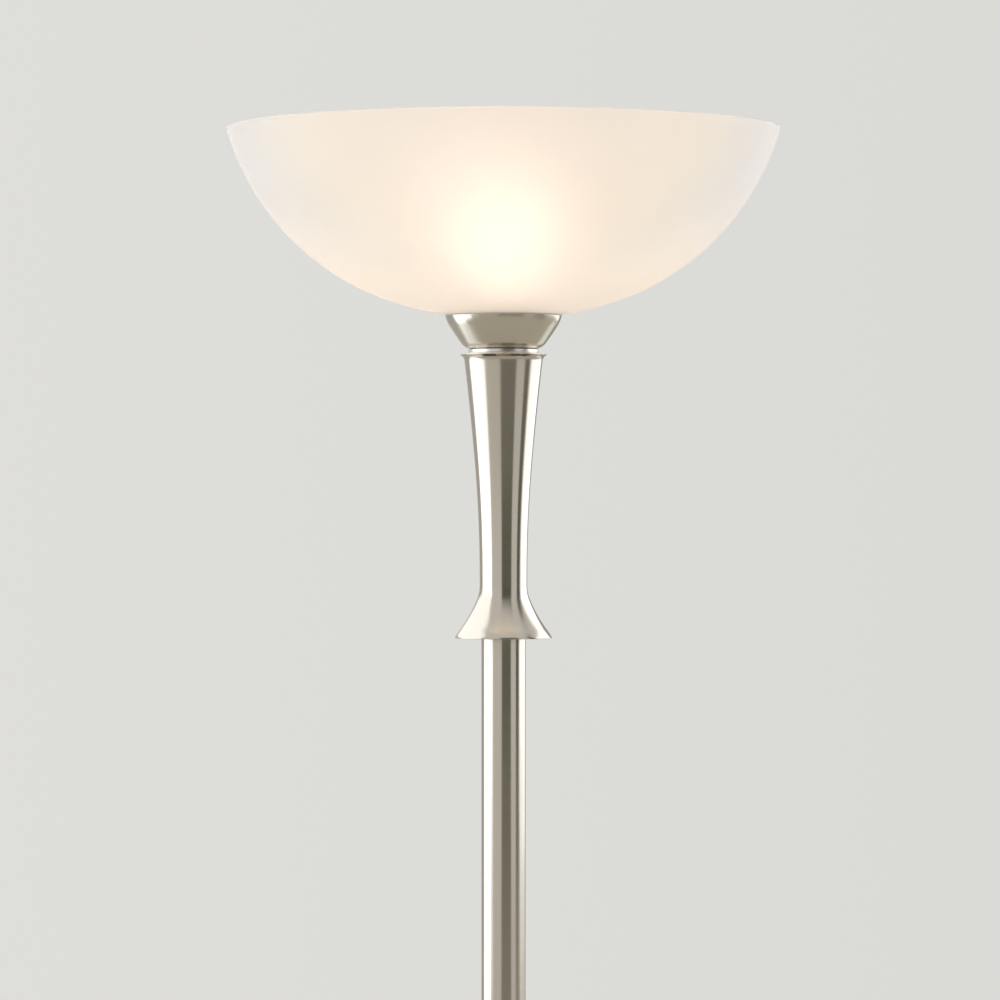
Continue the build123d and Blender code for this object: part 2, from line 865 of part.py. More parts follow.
# Brass screw shell and centre contact
head_shell = turned(
    head_socket_section,
    (head_cavity - shell_wall, cap_floor),
    (head_cavity, cap_floor),
    (head_cavity, cap_mouth),
    (head_cavity - shell_wall, cap_mouth),
)
save(head_shell, "head_shell")
head_contact = sleeve(
    contact_radius,
    0,
    contact_height,
    Plane(origin=head_socket_section.origin).offset(-cap_floor),
)
save(head_contact, "head_contact")

# Ring that clamps the glass against the cup, with its seat dished like the glass
inner_crown = head_shade_crown - head_shade_wall
ring_bore = head_socket_radius + fixed_gap
ring_top_inner = head_shade_wall + sagitta(inner_crown, ring_bore)
ring_top_outer = head_shade_wall + sagitta(inner_crown, head_ring_radius)
head_ring = turned(
    shade_section,
    (ring_bore, ring_top_inner),
    (head_ring_radius, ring_top_outer),
    (head_ring_radius, ring_top_outer + head_ring_height),
    (ring_bore, ring_top_outer + head_ring_height),
)
save(head_ring, "head_ring")

bulb_section = Plane(
    origin=head_socket_section.origin - Vector(0, 0, cap_floor),
    x_dir=(1, 0, 0),
    z_dir=(0, 1, 0),
)
head_bulb_cap = bulb_cap(bulb_section, head_bulb_cap_radius, head_bulb_cap_length)
save(head_bulb_cap, "head_bulb_cap")

with BuildPart() as head_bulb:
    with BuildSketch(bulb_section):
        with BuildLine():
            bulb_end = head_bulb_cap_length + head_bulb_length
            wide = (head_bulb_radius, bulb_end - head_bulb_face)
            base = Line((0, head_bulb_cap_length), (head_bulb_cap_radius, head_bulb_cap_length))
            flank = Spline(base @ 1, wide, tangents=((0, 1), (0, 1)))
            front = Spline(wide, (0, bulb_end), tangents=((0, 1), (-1, 0)))
            Line(front @ 1, base @ 0)
        make_face()
    revolve(axis=head_axis)
save(head_bulb, "head_bulb")

# Turn switch on the side of the cup: its bush is cut to the round of the cup and the socket
with BuildPart() as switch_bush:
    with BuildSketch(switch_plane.offset(head_cup_radius - switch_flange)):
        Circle(switch_flange_radius)
    extrude(amount=2 * switch_flange)
    with BuildSketch(cup_top_plane):
        Circle(head_cup_radius)
    extrude(amount=-head_cup_height, mode=Mode.SUBTRACT)
    with BuildSketch(switch_plane):
        Circle(switch_bush_radius)
    extrude(amount=head_cup_radius + switch_flange)
    with BuildSketch(cup_top_plane):
        Circle(head_socket_radius)
    extrude(amount=-head_cup_height, mode=Mode.SUBTRACT)
    with BuildSketch(switch_plane):
        Circle(switch_shaft_radius + running_gap)
    extrude(amount=head_cup_radius + switch_flange, mode=Mode.SUBTRACT)
save(switch_bush, "switch_bush")

switch_knob_back = head_cup_radius + switch_flange + end_play
with BuildPart() as switch_knob:
    with BuildSketch(switch_plane.offset(switch_knob_back)):
        Ellipse(switch_knob_width / 2, switch_knob_thickness / 2)
    extrude(amount=switch_knob_length, taper=switch_knob_taper)
    fillet(switch_knob.faces().sort_by(Axis.X)[-1].edges(), radius=switch_knob_edge)
    with BuildSketch(switch_plane.offset(head_socket_radius + end_play)):
        Circle(switch_shaft_radius)
    extrude(amount=switch_knob_back - head_socket_radius)
save(switch_knob, "switch_knob")

# ------------------------------------------------------------------------- column head

# Long spun trumpet with a rolled lip, a closed top and a bell at its foot
with BuildPart() as trumpet:
    with BuildSketch(Plane.XZ):
        with BuildLine():
            lip_center = trumpet_top + lip_proud - trumpet_lip_bead
            lip = (trumpet_lip_radius - trumpet_lip_bead, lip_center)
            top = Line((pipe_hole, trumpet_top), (lip[0], trumpet_top))
            edge = Line(top @ 1, (lip[0], trumpet_top - lip_drop))
            throat = (trumpet_throat_radius, trumpet_top - 2 * lip_drop)
            taper = (trumpet_taper_radius, trumpet_top - trumpet_taper_drop)
            waist = (trumpet_waist_radius, trumpet_bottom + trumpet_waist_height)
            flare = (trumpet_flare_radius, trumpet_bottom + trumpet_flare_height)
            bell_turn = (bell_turn_radius, trumpet_bottom + bell_turn_height)
            bell_edge = (trumpet_bell_radius, trumpet_bottom + bell_edge_height)
            straight_end = (trumpet_waist_radius, waist[1] - trumpet_straight)
            straight = Line(waist, straight_end)
            lower_taper = TangentArc(waist, taper, tangent=(0, 1))
            upper_taper = TangentArc(taper, throat, tangent=lower_taper % 1)
            TangentArc(throat, edge @ 1, tangent=upper_taper % 1)
            bell_start = TangentArc(straight @ 1, flare, tangent=(0, -1))
            bell_flare = TangentArc(flare, bell_turn, tangent=bell_start % 1)
            TangentArc(bell_turn, bell_edge, tangent=bell_flare % 1)
            Line(bell_edge, (trumpet_bell_radius, trumpet_bottom))
            offset(amount=trumpet_wall, side=Side.RIGHT)
        make_face()
        with Locations(lip):
            Circle(trumpet_lip_bead)
    revolve(axis=Axis.Z)
save(trumpet, "trumpet")

neck_collar = turned(
    Plane.XZ,
    (pipe_hole, trumpet_top),
    (neck_foot_radius, trumpet_top),
    (neck_foot_radius, trumpet_top + neck_edge),
    (neck_top_radius, cup_bottom - neck_edge),
    (neck_top_radius, cup_bottom),
    (pipe_hole, cup_bottom),
)
save(neck_collar, "neck_collar")

# Spun cup that carries the glass on its rolled rim
bowl_seat_radius = cup_radius - cup_bead
with BuildPart() as fitter_cup:
    with BuildSketch(Plane.XZ):
        with BuildLine():
            rim = (cup_radius - cup_bead, cup_rim - cup_bead)
            turn_end = (cup_foot_turn[0], cup_bottom + cup_foot_turn[1])
            floor = Line((pipe_hole, cup_bottom), (cup_foot_radius, cup_bottom))
            turn = TangentArc(floor @ 1, turn_end, tangent=floor % 1)
            TangentArc(turn @ 1, (cup_radius, rim[1]), tangent=turn % 1)
            offset(amount=cup_wall, side=Side.LEFT)
        make_face()
        with Locations(rim):
            Circle(cup_bead)
    revolve(axis=Axis.Z)
save(fitter_cup, "fitter_cup")

# Pipe up the middle of the head, from the pole's top plug into the socket
head_pipe_bottom = upper_pole_top - plug_height + pipe_stub
head_pipe_length = pipe_top - head_pipe_bottom
head_pipe = sleeve(pipe_radius, pipe_bore, head_pipe_length, Plane.XY.offset(head_pipe_bottom))
save(head_pipe, "head_pipe")

pipe_nuts = hex_nut(
    nut_flats,
    pipe_hole,
    nut_height,
    Plane.XY.offset(foot_nut_bottom),
    Plane.XY.offset(trumpet_top - trumpet_wall - nut_height),
    Plane.XY.offset(cup_floor + washer_thickness),
)
save(pipe_nuts, "pipe_nuts")

pipe_washers = sleeve(
    washer_radius,
    pipe_hole,
    washer_thickness,
    Plane.XY.offset(recess_top - washer_thickness),
    Plane.XY.offset(cup_floor),
)
save(pipe_washers, "pipe_washers")

# --------------------------------------------------------------------------- glass bowl

# The glass rests on a gasket on the cup's rim, which sets the height of its crown
seat_outer = bowl_seat_radius + gasket_width / 2
seat_inner = bowl_seat_radius - gasket_width / 2
bowl_bottom = cup_rim + gasket_thickness - sagitta(bowl_crown, bowl_seat_radius)
glass_gasket = turned(
    Plane.XZ,
    (seat_inner, cup_rim),
    (seat_outer, cup_rim),
    (seat_outer, bowl_bottom + sagitta(bowl_crown, seat_outer)),
    (seat_inner, bowl_bottom + sagitta(bowl_crown, seat_inner)),
)
save(glass_gasket, "glass_gasket")

bowl_hole = socket_radius + shade_hole_gap
glass_bowl = glass_shade(
    Plane(origin=(0, 0, bowl_bottom), x_dir=(1, 0, 0), z_dir=(0, -1, 0)),
    bowl_hole,
    bowl_crown,
    bowl_reach,
    bowl_radius,
    bowl_depth,
    bowl_wall,
)
save(glass_bowl, "glass_bowl")

# Soft washer and threaded ring that clamp the glass from inside
ring_hole = socket_radius + fixed_gap
ring_outer = bowl_hole + clamp_washer_width
inner_bowl_crown = bowl_crown - bowl_wall
glass_floor = bowl_bottom + bowl_wall + fixed_gap
clamp_seat = glass_floor + sagitta(inner_bowl_crown, ring_outer) + clamp_washer_thickness
clamp_washer = turned(
    Plane.XZ,
    (bowl_hole, glass_floor + sagitta(inner_bowl_crown, bowl_hole)),
    (ring_outer, glass_floor + sagitta(inner_bowl_crown, ring_outer)),
    (ring_outer, clamp_seat),
    (bowl_hole, clamp_seat),
)
save(clamp_washer, "clamp_washer")
clamp_ring = sleeve(ring_outer, ring_hole, clamp_ring_height, Plane.XY.offset(clamp_seat))
save(clamp_ring, "clamp_ring")

# ----------------------------------------------------------------- main socket and bulb

cavity = socket_radius - socket_wall
socket_section = Plane(origin=(0, 0, socket_bottom), x_dir=(1, 0, 0), z_dir=(0, -1, 0))
main_socket = screw_socket(
    socket_section,
    socket_radius,
    cavity,
    socket_height,
    socket_floor,
    pipe_hole,
    pipe_top - socket_bottom,
)
save(main_socket, "main_socket")

cap_bottom = socket_floor + contact_height
main_shell = turned(
    socket_section,
    (cavity - shell_wall, cap_bottom),
    (cavity, cap_bottom),
    (cavity, socket_height),
    (cavity - shell_wall, socket_height),
)
save(main_shell, "main_shell")
main_contact = sleeve(contact_radius, 0, contact_height, Plane.XY.offset(socket_bottom + socket_floor))
save(main_contact, "main_contact")

bulb_plane = Plane(
    origin=(0, 0, socket_bottom + cap_bottom),
    x_dir=(1, 0, 0),
    z_dir=(0, -1, 0),
)
main_bulb_cap = bulb_cap(bulb_plane, bulb_cap_radius, bulb_cap_length)
save(main_bulb_cap, "main_bulb_cap")

with BuildPart() as main_bulb:
    with BuildSketch(bulb_plane):
        with BuildLine():
            globe_height = bulb_cap_length + bulb_length - bulb_radius
            base = Line((0, bulb_cap_length), (bulb_cap_radius, bulb_cap_length))
            neck = Line(base @ 1, (bulb_neck_radius, bulb_cap_length + bulb_neck_height))
            globe_side = (bulb_radius, globe_height)
            Spline(neck @ 1, globe_side, tangents=((0, 1), (0, 1)))
            globe = RadiusArc(globe_side, (0, globe_height + bulb_radius), -bulb_radius)
            Line(globe @ 1, base @ 0)
        make_face()
    revolve(axis=Axis.Z)
save(main_bulb, "main_bulb")

# Two leads up the pole, from the foot's recess to the main socket
lead_bottom = foot_pipe_bottom
with BuildPart() as pole_leads:
    with BuildSketch(Plane.XY.offset(lead_bottom)):
        with GridLocations(lead_spacing, 0, 2, 1):
            Circle(lead_radius)
    extrude(amount=pipe_top - lead_bottom)
save(pole_leads, "pole_leads")
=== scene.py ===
"""Looks of a torchiere floor lamp with a reading light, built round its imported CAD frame.

Sizes are in millimetres, +Z up, from the middle of the foot on the floor. Each class below is
one sub-assembly: it holds its sizes, builds its meshes and gives each its finish.
"""

from __future__ import annotations

import logging
import math
from dataclasses import dataclass, field, replace
from enum import Enum
from typing import Optional, Sequence

import bmesh
import bpy
from mathutils import Matrix, Vector

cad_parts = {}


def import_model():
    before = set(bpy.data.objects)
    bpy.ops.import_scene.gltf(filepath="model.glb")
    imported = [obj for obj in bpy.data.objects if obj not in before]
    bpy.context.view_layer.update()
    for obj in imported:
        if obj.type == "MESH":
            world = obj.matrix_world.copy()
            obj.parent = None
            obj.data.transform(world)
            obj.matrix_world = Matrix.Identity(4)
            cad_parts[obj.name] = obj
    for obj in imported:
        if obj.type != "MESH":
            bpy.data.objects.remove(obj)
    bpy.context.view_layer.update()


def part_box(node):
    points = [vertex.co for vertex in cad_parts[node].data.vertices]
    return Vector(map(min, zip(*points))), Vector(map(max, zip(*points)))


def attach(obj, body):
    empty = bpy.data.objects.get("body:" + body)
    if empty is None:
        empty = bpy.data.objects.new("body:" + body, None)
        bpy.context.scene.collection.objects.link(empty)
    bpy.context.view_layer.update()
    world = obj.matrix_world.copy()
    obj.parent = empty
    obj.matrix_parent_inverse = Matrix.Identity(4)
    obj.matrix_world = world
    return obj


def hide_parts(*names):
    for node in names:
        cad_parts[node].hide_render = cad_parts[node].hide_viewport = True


MM = 0.001
FIT = 0.05
UP = (0.0, 0.0, 1.0)
ORIGIN = (0.0, 0.0, 0.0)
FULL_TURN = 2 * math.pi
FLAT = math.radians(0.6)
SHARP = math.radians(32)
ROUNDED = math.radians(38)
Colour = tuple[float, float, float]
Point = tuple[float, float]
Stop = tuple[float, Colour]
Mesh = bmesh.types.BMesh
Edges = list[bmesh.types.BMEdge]
Socket = bpy.types.NodeSocket
Material = bpy.types.Material
log = logging.getLogger("lamp")


class Body(Enum):
    """The moving bodies of the lamp."""

    STAND = "stand"
    DIMMER = "dimmer"
    ARM = "arm"
    THUMB_NUT = "thumb_nut"
    HEAD = "head"
    SWITCH_KNOB = "switch_knob"


class Side(Enum):
    """The side of an outline, looking along it, that its outer face lies on."""

    LEFT = 1
    RIGHT = -1


class Lay(Enum):
    """The way that the lines of a brushed finish run."""

    ROUND = "round the axis"
    ALONG = "along the axis"


# ------------------------------------------------------------------------------ finishes


class Nodes:
    """A node tree under construction."""

    def __init__(self, tree: bpy.types.NodeTree) -> None:
        """Empty the tree of a material or of the world, to build it anew."""
        self.tree = tree
        tree.nodes.clear()

    def fill(self, socket: Socket, value: object) -> None:
        """Link or set one input.

        Args:
            socket: The input.
            value: Another node's output, a number, a vector or a colour.
        """
        if isinstance(value, bpy.types.NodeSocket):
            self.tree.links.new(value, socket)
        else:
            socket.default_value = (*value, 1.0) if socket.type == "RGBA" else value

    def add(self, kind: str, inputs: Optional[dict] = None, **settings: object) -> bpy.types.Node:
        """Add a node.

        Args:
            kind: The node's type, without its "ShaderNode" prefix.
            inputs: A value or another node's output for each named or numbered input.
            **settings: Properties of the node itself.

        Returns:
            The new node.
        """
        node = self.tree.nodes.new("ShaderNode" + kind)
        for key, value in settings.items():
            setattr(node, key, value)
        for key, value in (inputs or {}).items():
            self.fill(node.inputs[key], value)
        return node

    def compute(self, operation: str, *values: object) -> Socket:
        """Return what a Math node's operation makes of numbers or outputs."""
        return self.add("Math", dict(enumerate(values)), operation=operation).outputs[0]

    def vector(self, operation: str, *values: object) -> Socket:
        """Return what a Vector Math node's operation makes of vectors or outputs."""
        node = self.add("VectorMath", dict(enumerate(values)), operation=operation)
        return node.outputs["Value" if operation in ("LENGTH", "DISTANCE") else "Vector"]

    def span(self, value: Socket, low: float, high: float, start: float, end: float) -> Socket:
        """Return a value mapped from low and high to start and end, and clamped to them."""
        inputs = {"Value": value, "From Min": low, "From Max": high, "To Min": start, "To Max": end}
        return self.add("MapRange", inputs).outputs["Result"]

    def between(
        self, pattern: Socket, first: Colour, second: Colour, low: float = 0.3, high: float = 0.7
    ) -> Socket:
        """Return two colours mixed, the first where a pattern is low, the second where high."""
        share = self.span(pattern, low, high, 0.0, 1.0)
        return self.add("Mix", {0: share, 6: first, 7: second}, data_type="RGBA").outputs[2]

    def choose(self, share: Socket, first: Socket, second: Socket) -> Socket:
        """Return two shaders mixed, the first where the share is 0, the second where 1."""
        return self.add("MixShader", {0: share, 1: first, 2: second}).outputs[0]


class Recipe(Nodes):
    """A material under construction, with a Principled surface and object coordinates."""

    def __init__(self, name: str) -> None:
        """Start an empty recipe.

        Args:
            name: The material's name.
        """
        self.material = bpy.data.materials.new(name)
        self.material.use_nodes = True
        super().__init__(self.material.node_tree)
        self.surface = self.add("BsdfPrincipled")
        self.output = self.add("OutputMaterial", {"Surface": self.surface.outputs[0]})
        self.place = self.add("TexCoord").outputs["Object"]

    def set(self, inputs: dict[str, object]) -> None:
        """Set or link inputs of the surface, given by their names."""
        for key, value in inputs.items():
            self.fill(self.surface.inputs[key], value)

    def noise(self, scale: float, detail: float = 2.0, vector: Optional[Socket] = None) -> Socket:
        """Add a noise pattern.

        Args:
            scale: Cells per metre, or per unit of the given vector.
            detail: Octaves of finer noise.
            vector: Where it is read. The object coordinates if left out.

        Returns:
            The noise's value, about 0.5 on average.
        """
        where = self.place if vector is None else vector
        inputs = {"Vector": where, "Scale": scale, "Detail": detail}
        return self.add("TexNoise", inputs).outputs["Fac"]

    def ramp(self, value: Socket, stops: Sequence[Stop]) -> Socket:
        """Colour a value by a smooth ramp.

        Args:
            value: The value, from 0 to 1.
            stops: The place and colour of each stop, in order.

        Returns:
            The ramp's colour.
        """
        node = self.add("ValToRGB", {"Fac": value})
        node.color_ramp.interpolation = "B_SPLINE"
        elements = node.color_ramp.elements
        while len(elements) < len(stops):
            elements.new(0.5)
        for element, (position, colour) in zip(elements, stops):
            element.position = position
            element.color = (*colour, 1.0)
        return node.outputs["Color"]

    def relief(self, height: Socket, depth: float, strength: float = 1.0) -> Socket:
        """Return the normal of a bump by a pattern, whose full depth is in millimetres."""
        inputs = {"Height": height, "Distance": depth * MM, "Strength": strength}
        return self.add("Bump", inputs).outputs["Normal"]


@dataclass(frozen=True)
class Axis:
    """A line that a turned piece is centred on: a point in millimetres and a direction."""

    x: float = 0.0
    y: float = 0.0
    z: float = 0.0
    toward: tuple[float, float, float] = UP

    def frame(self) -> Matrix:
        """Return the matrix from a piece's own frame, with +Z along the axis, to the lamp's."""
        turn = Vector(UP).rotation_difference(Vector(self.toward)).to_matrix().to_4x4()
        return Matrix.Translation((self.x, self.y, self.z)) @ turn


UPRIGHT = Axis()


class Finish:
    """What every finish shares: it makes its material once, and carries a slot name that nothing
    here reads.
    """

    name: str
    slot: str
    made: dict[str, Material] = {}

    def material(self) -> Material:
        """Return the finish's material, made at its first use."""
        if self.name not in Finish.made:
            recipe = Recipe(self.name)
            self.mix(recipe)
            Finish.made[self.name] = recipe.material
        return Finish.made[self.name]

    def mix(self, recipe: Recipe) -> None:
        """Fill in the material's empty recipe."""
        raise NotImplementedError


@dataclass(frozen=True)
class BrushedMetal(Finish):
    """Plated or bare metal with fine brushed lines round or along an axis."""

    name: str
    slot: str
    light: Colour = (0.705, 0.675, 0.61)
    dark: Colour = (0.675, 0.645, 0.58)
    roughness: float = 0.19
    stretch: float = 0.75
    axis: Axis = UPRIGHT
    lay: Lay = Lay.ROUND
    pitch: float = 0.28
    depth: float = 0.003
    waver: float = 14.0

    def mix(self, recipe: Recipe) -> None:
        """Fill in the recipe: lines, faint smears and a stretched highlight.

        Args:
            recipe: The material's empty recipe.
        """
        frame = self.axis.frame()
        shift, turn = tuple(MM * value for value in frame.translation), tuple(frame.to_euler())
        mapping = {"Vector": recipe.place, "Location": shift, "Rotation": turn}
        local = recipe.add("Mapping", mapping, vector_type="TEXTURE").outputs[0]
        parts = recipe.add("SeparateXYZ", {0: local}).outputs
        lines = recipe.add("CombineXYZ", {"X": parts["X"], "Y": parts["Y"]}).outputs[0]
        grain = UP
        if self.lay is Lay.ROUND:
            reach = recipe.vector("LENGTH", lines)
            lines = recipe.add("CombineXYZ", {"X": reach, "Y": parts["Z"]}).outputs[0]
            grain = recipe.vector("CROSS_PRODUCT", UP, local)
        fine = recipe.vector("MULTIPLY", lines, (1 / (MM * self.pitch),) * 3)
        slow = recipe.vector("MULTIPLY", local, (self.waver,) * 3)
        scratches = recipe.noise(1.0, 3.0, recipe.vector("ADD", fine, slow))
        smears = recipe.span(recipe.noise(22.0, 3.0), 0.35, 0.7, -0.015, 0.025)
        rough = recipe.compute("ADD", recipe.span(scratches, 0.3, 0.7, -0.02, 0.02), smears)
        turned_grain = recipe.add(
            "VectorRotate", {"Vector": grain, "Rotation": turn}, rotation_type="EULER_XYZ"
        )
        world_grain = recipe.add(
            "VectorTransform",
            {0: turned_grain.outputs[0]},
            vector_type="VECTOR",
            convert_from="OBJECT",
            convert_to="WORLD",
        )
        recipe.set(
            {
                "Base Color": recipe.between(scratches, self.dark, self.light),
                "Roughness": recipe.compute("ADD", rough, self.roughness),
                "Metallic": 1.0,
                "Anisotropic": self.stretch,
                "Anisotropic Rotation": 0.25,
                "Tangent": world_grain.outputs[0],
                "Normal": recipe.relief(scratches, self.depth, 0.6),
            }
        )


@dataclass(frozen=True)
class CastIron(Finish):
    """Bare cast iron, dark and grainy, with a little rust in its pits."""

    name: str = "cast_iron"
    slot: str = "iron"
    bare: Colour = (0.055, 0.053, 0.05)
    rusted: Colour = (0.09625, 0.0541, 0.0379)

    def mix(self, recipe: Recipe) -> None:
        """Fill in the recipe: sand-cast grain and rust.

        Args:
            recipe: The material's empty recipe.
        """
        grain = recipe.noise(900.0, 4.0)
        rust = recipe.noise(60.0, 5.0)
        recipe.set(
            {
                "Base Color": recipe.between(rust, self.bare, self.rusted, 0.55, 0.72),
                "Roughness": recipe.span(grain, 0.3, 0.7, 0.55, 0.8),
                "Metallic": 0.55,
                "Normal": recipe.relief(grain, 0.35),
            }
        )


@dataclass(frozen=True)
class Felt(Finish):
    """Pressed dark-grey felt."""

    name: str = "grey_felt"
    slot: str = "felt"
    dark: Colour = (0.035, 0.036, 0.04)
    light: Colour = (0.12, 0.12, 0.13)

    def mix(self, recipe: Recipe) -> None:
        """Fill in the recipe: matted fibres and a soft sheen.

        Args:
            recipe: The material's empty recipe.
        """
        fibres, clouds = recipe.noise(2600.0, 5.0), recipe.noise(90.0, 3.0)
        lift = recipe.span(fibres, 0.2, 0.8, 0.3, 0.7)
        matted = recipe.compute("MULTIPLY_ADD", fibres, clouds, lift)
        recipe.set(
            {
                "Base Color": recipe.between(matted, self.dark, self.light, 0.4, 1.0),
                "Roughness": 0.95,
                "Sheen Weight": 0.5,
                "Sheen Roughness": 0.5,
                "Normal": recipe.relief(fibres, 0.3),
            }
        )


@dataclass(frozen=True)
class Moulded(Finish):
    """Moulded plastic, rubber, nylon or glazed porcelain: one tone, with the mould's grain."""

    name: str
    slot: str
    tone: Colour
    shade: Colour
    roughness: float = 0.4
    grain: float = 1800.0
    depth: float = 0.02
    coat: float = 0.0
    soft: float = 0.0

    def mix(self, recipe: Recipe) -> None:
        """Fill in the recipe: faint clouds in the tone and a fine grain.

        Args:
            recipe: The material's empty recipe.
        """
        clouds, fine = recipe.noise(45.0, 4.0), recipe.noise(self.grain, 3.0)
        smooth, rough = self.roughness - 0.05, self.roughness + 0.06
        recipe.set(
            {
                "Base Color": recipe.between(clouds, self.tone, self.shade),
                "Roughness": recipe.span(fine, 0.3, 0.7, smooth, rough),
                "Coat Weight": self.coat,
                "Coat Roughness": 0.06,
                "Subsurface Weight": self.soft,
                "Subsurface Scale": 0.002,
                "Normal": recipe.relief(fine, self.depth),
            }
        )


@dataclass(frozen=True)
class LitOpal(Finish):
    """Frosted opal glass with a lamp burning inside it.

    Its glow is painted light: an emission set by its height above the foot stands in for the lamp's
    light, warmest beside the lamp, with painted shade at the very bottom where the cup and socket
    shade the glass. Its real transmission lets a little of the lamp itself through. Further up, a
    painted falloff makes it glow less and look cooler where it is seen edge-on.
    """

    name: str = "lit_opal_glass"
    slot: str = "opal_glass"
    low: float = 1660.0
    high: float = 1802.0
    # Painted glow by height, standing in for the lamp's light through the glass; the first two
    # stops are painted shade, dark brown where the cup and socket shade the foot of the glass.
    glow: tuple[Stop, ...] = (
        (0.0, (0.10, 0.06, 0.035)),
        (0.042, (0.185, 0.155, 0.125)),
        (0.056, (0.376, 0.320, 0.260)),
        (0.34, (0.376, 0.320, 0.260)),
        (0.55, (0.376, 0.320, 0.260)),
        (0.80, (0.371, 0.315, 0.257)),
        (1.0, (0.366, 0.310, 0.255)),
    )
    # Painted falloff: where the glass is seen edge-on its glow is dimmed, and tinted cooler as a
    # painted reflection.
    painted_edge_falloff: tuple[Stop, ...] = (
        (0.0, (1.0, 1.0, 1.0)),
        (0.22, (1.02, 1.04, 1.07)),
        (0.34, (0.98, 1.02, 1.11)),
        (0.46, (0.85, 0.93, 1.07)),
        (0.62, (0.72, 0.83, 1.00)),
        (0.82, (0.70, 0.80, 0.96)),
    )
    edge_falloff_from: float = 1690.0
    edge_falloff_above: float = 1750.0
    dull: Colour = (0.485, 0.475, 0.460)
    clear: Colour = (0.515, 0.505, 0.490)

    def mix(self, recipe: Recipe) -> None:
        """Fill in the recipe: the glow, and the fine bite of the frosting.

        Args:
            recipe: The material's empty recipe.
        """
        height = recipe.add("SeparateXYZ", {0: recipe.place}).outputs["Z"]
        share = recipe.span(height, self.low * MM, self.high * MM, 0.0, 1.0)
        # Painted edge falloff of the glow, applied only above the given heights.
        facing = recipe.add("LayerWeight", {"Blend": 0.5}).outputs["Facing"]
        far = recipe.span(height, self.edge_falloff_from * MM, self.edge_falloff_above * MM, 0.0, 1.0)
        tones = {0: far, 6: recipe.ramp(share, self.glow), 7: recipe.ramp(facing, self.painted_edge_falloff)}
        painted_glow = recipe.add("Mix", tones, data_type="RGBA", blend_type="MULTIPLY")
        frost, clouds = recipe.noise(5200.0, 2.0), recipe.noise(9.0, 3.0)
        recipe.set(
            {
                "Base Color": recipe.between(clouds, self.dull, self.clear, 0.35, 0.65),
                "Roughness": recipe.span(frost, 0.3, 0.7, 0.81, 0.89),
                "Transmission Weight": 0.7,
                "IOR": 1.25,
                "Emission Color": painted_glow.outputs[2],
                "Emission Strength": 1.0,
                "Normal": recipe.relief(frost, 0.02),
            }
        )


@dataclass(frozen=True)
class OpalGlass(Finish):
    """White opal glass, unlit, with a satin face."""

    name: str = "white_opal_glass"
    slot: str = "opal_glass_unlit"
    dull: Colour = (0.80, 0.79, 0.765)
    clear: Colour = (0.85, 0.84, 0.82)

    def mix(self, recipe: Recipe) -> None:
        """Fill in the recipe: milky body and satin skin.

        Args:
            recipe: The material's empty recipe.
        """
        clouds, frost = recipe.noise(14.0, 3.0), recipe.noise(5200.0, 2.0)
        recipe.set(
            {
                "Base Color": recipe.between(clouds, self.dull, self.clear, 0.35, 0.65),
                "Roughness": recipe.span(frost, 0.3, 0.7, 0.26, 0.34),
                "Subsurface Weight": 0.35,
                "Subsurface Scale": 0.006,
                "Subsurface Radius": (1.0, 0.92, 0.84),
                "Transmission Weight": 0.12,
                "Coat Weight": 0.35,
                "Coat Roughness": 0.18,
                "Normal": recipe.relief(frost, 0.01),
            }
        )


@dataclass(frozen=True)
class BulbGlass(Finish):
    """The frosted envelope of a lamp, glowing or dark."""

    name: str
    slot: str
    glow: float = 0.0
    tone: Colour = (0.86, 0.855, 0.84)
    powder: Colour = (0.9, 0.895, 0.885)
    warm: Colour = (1.0, 0.67, 0.53)
    mild: Colour = (1.0, 0.70, 0.57)

    def mix(self, recipe: Recipe) -> None:
        """Fill in the recipe: powder coat inside clear glass.

        Args:
            recipe: The material's empty recipe.
        """
        powder = recipe.noise(320.0, 4.0)
        recipe.set(
            {
                "Base Color": recipe.between(powder, self.tone, self.powder),
                "Roughness": recipe.span(powder, 0.3, 0.7, 0.3, 0.4),
                "Emission Color": recipe.between(powder, self.warm, self.mild),
                "Emission Strength": self.glow,
                "Coat Weight": 1.0,
                "Coat Roughness": 0.05,
            }
        )


FORWARD = (0.0, -1.0, 0.0)
OUTWARD = (1.0, 0.0, 0.0)
BACKWARD = (0.0, 1.0, 0.0)
DIMMER_AXIS = Axis(z=960.0, toward=FORWARD)
ARM_AXIS = Axis(z=1060.0, toward=OUTWARD)
KNUCKLE_AXIS = Axis(x=311.0, z=1105.0, toward=FORWARD)
HEAD_AXIS = Axis(x=311.0)
SWITCH_AXIS = Axis(x=311.0, z=1056.0, toward=OUTWARD)
INLET_AXIS = Axis(z=9.5, toward=BACKWARD)

STEEL_TONES = ((0.56, 0.57, 0.57), (0.44, 0.45, 0.46))
BRASS_TONES = ((0.78, 0.56, 0.25), (0.62, 0.42, 0.17))
CAP_TONES = ((0.78, 0.78, 0.77), (0.66, 0.66, 0.65))
BRIGHT_TONES = ((0.86, 0.84, 0.80), (0.82, 0.80, 0.76))
RUBBER_TONES = ((0.42, 0.42, 0.4), (0.5, 0.5, 0.48))
NYLON_TONES = ((0.72, 0.69, 0.62), (0.78, 0.75, 0.69))
BLACK_TONES = ((0.018, 0.018, 0.019), (0.026, 0.026, 0.027))
WHITE_TONES = ((0.74, 0.73, 0.7), (0.79, 0.78, 0.76))
PORCELAIN_TONES = ((0.82, 0.81, 0.77), (0.87, 0.86, 0.83))
SLEEVING_TONES = ((0.55, 0.53, 0.47), (0.62, 0.6, 0.54))

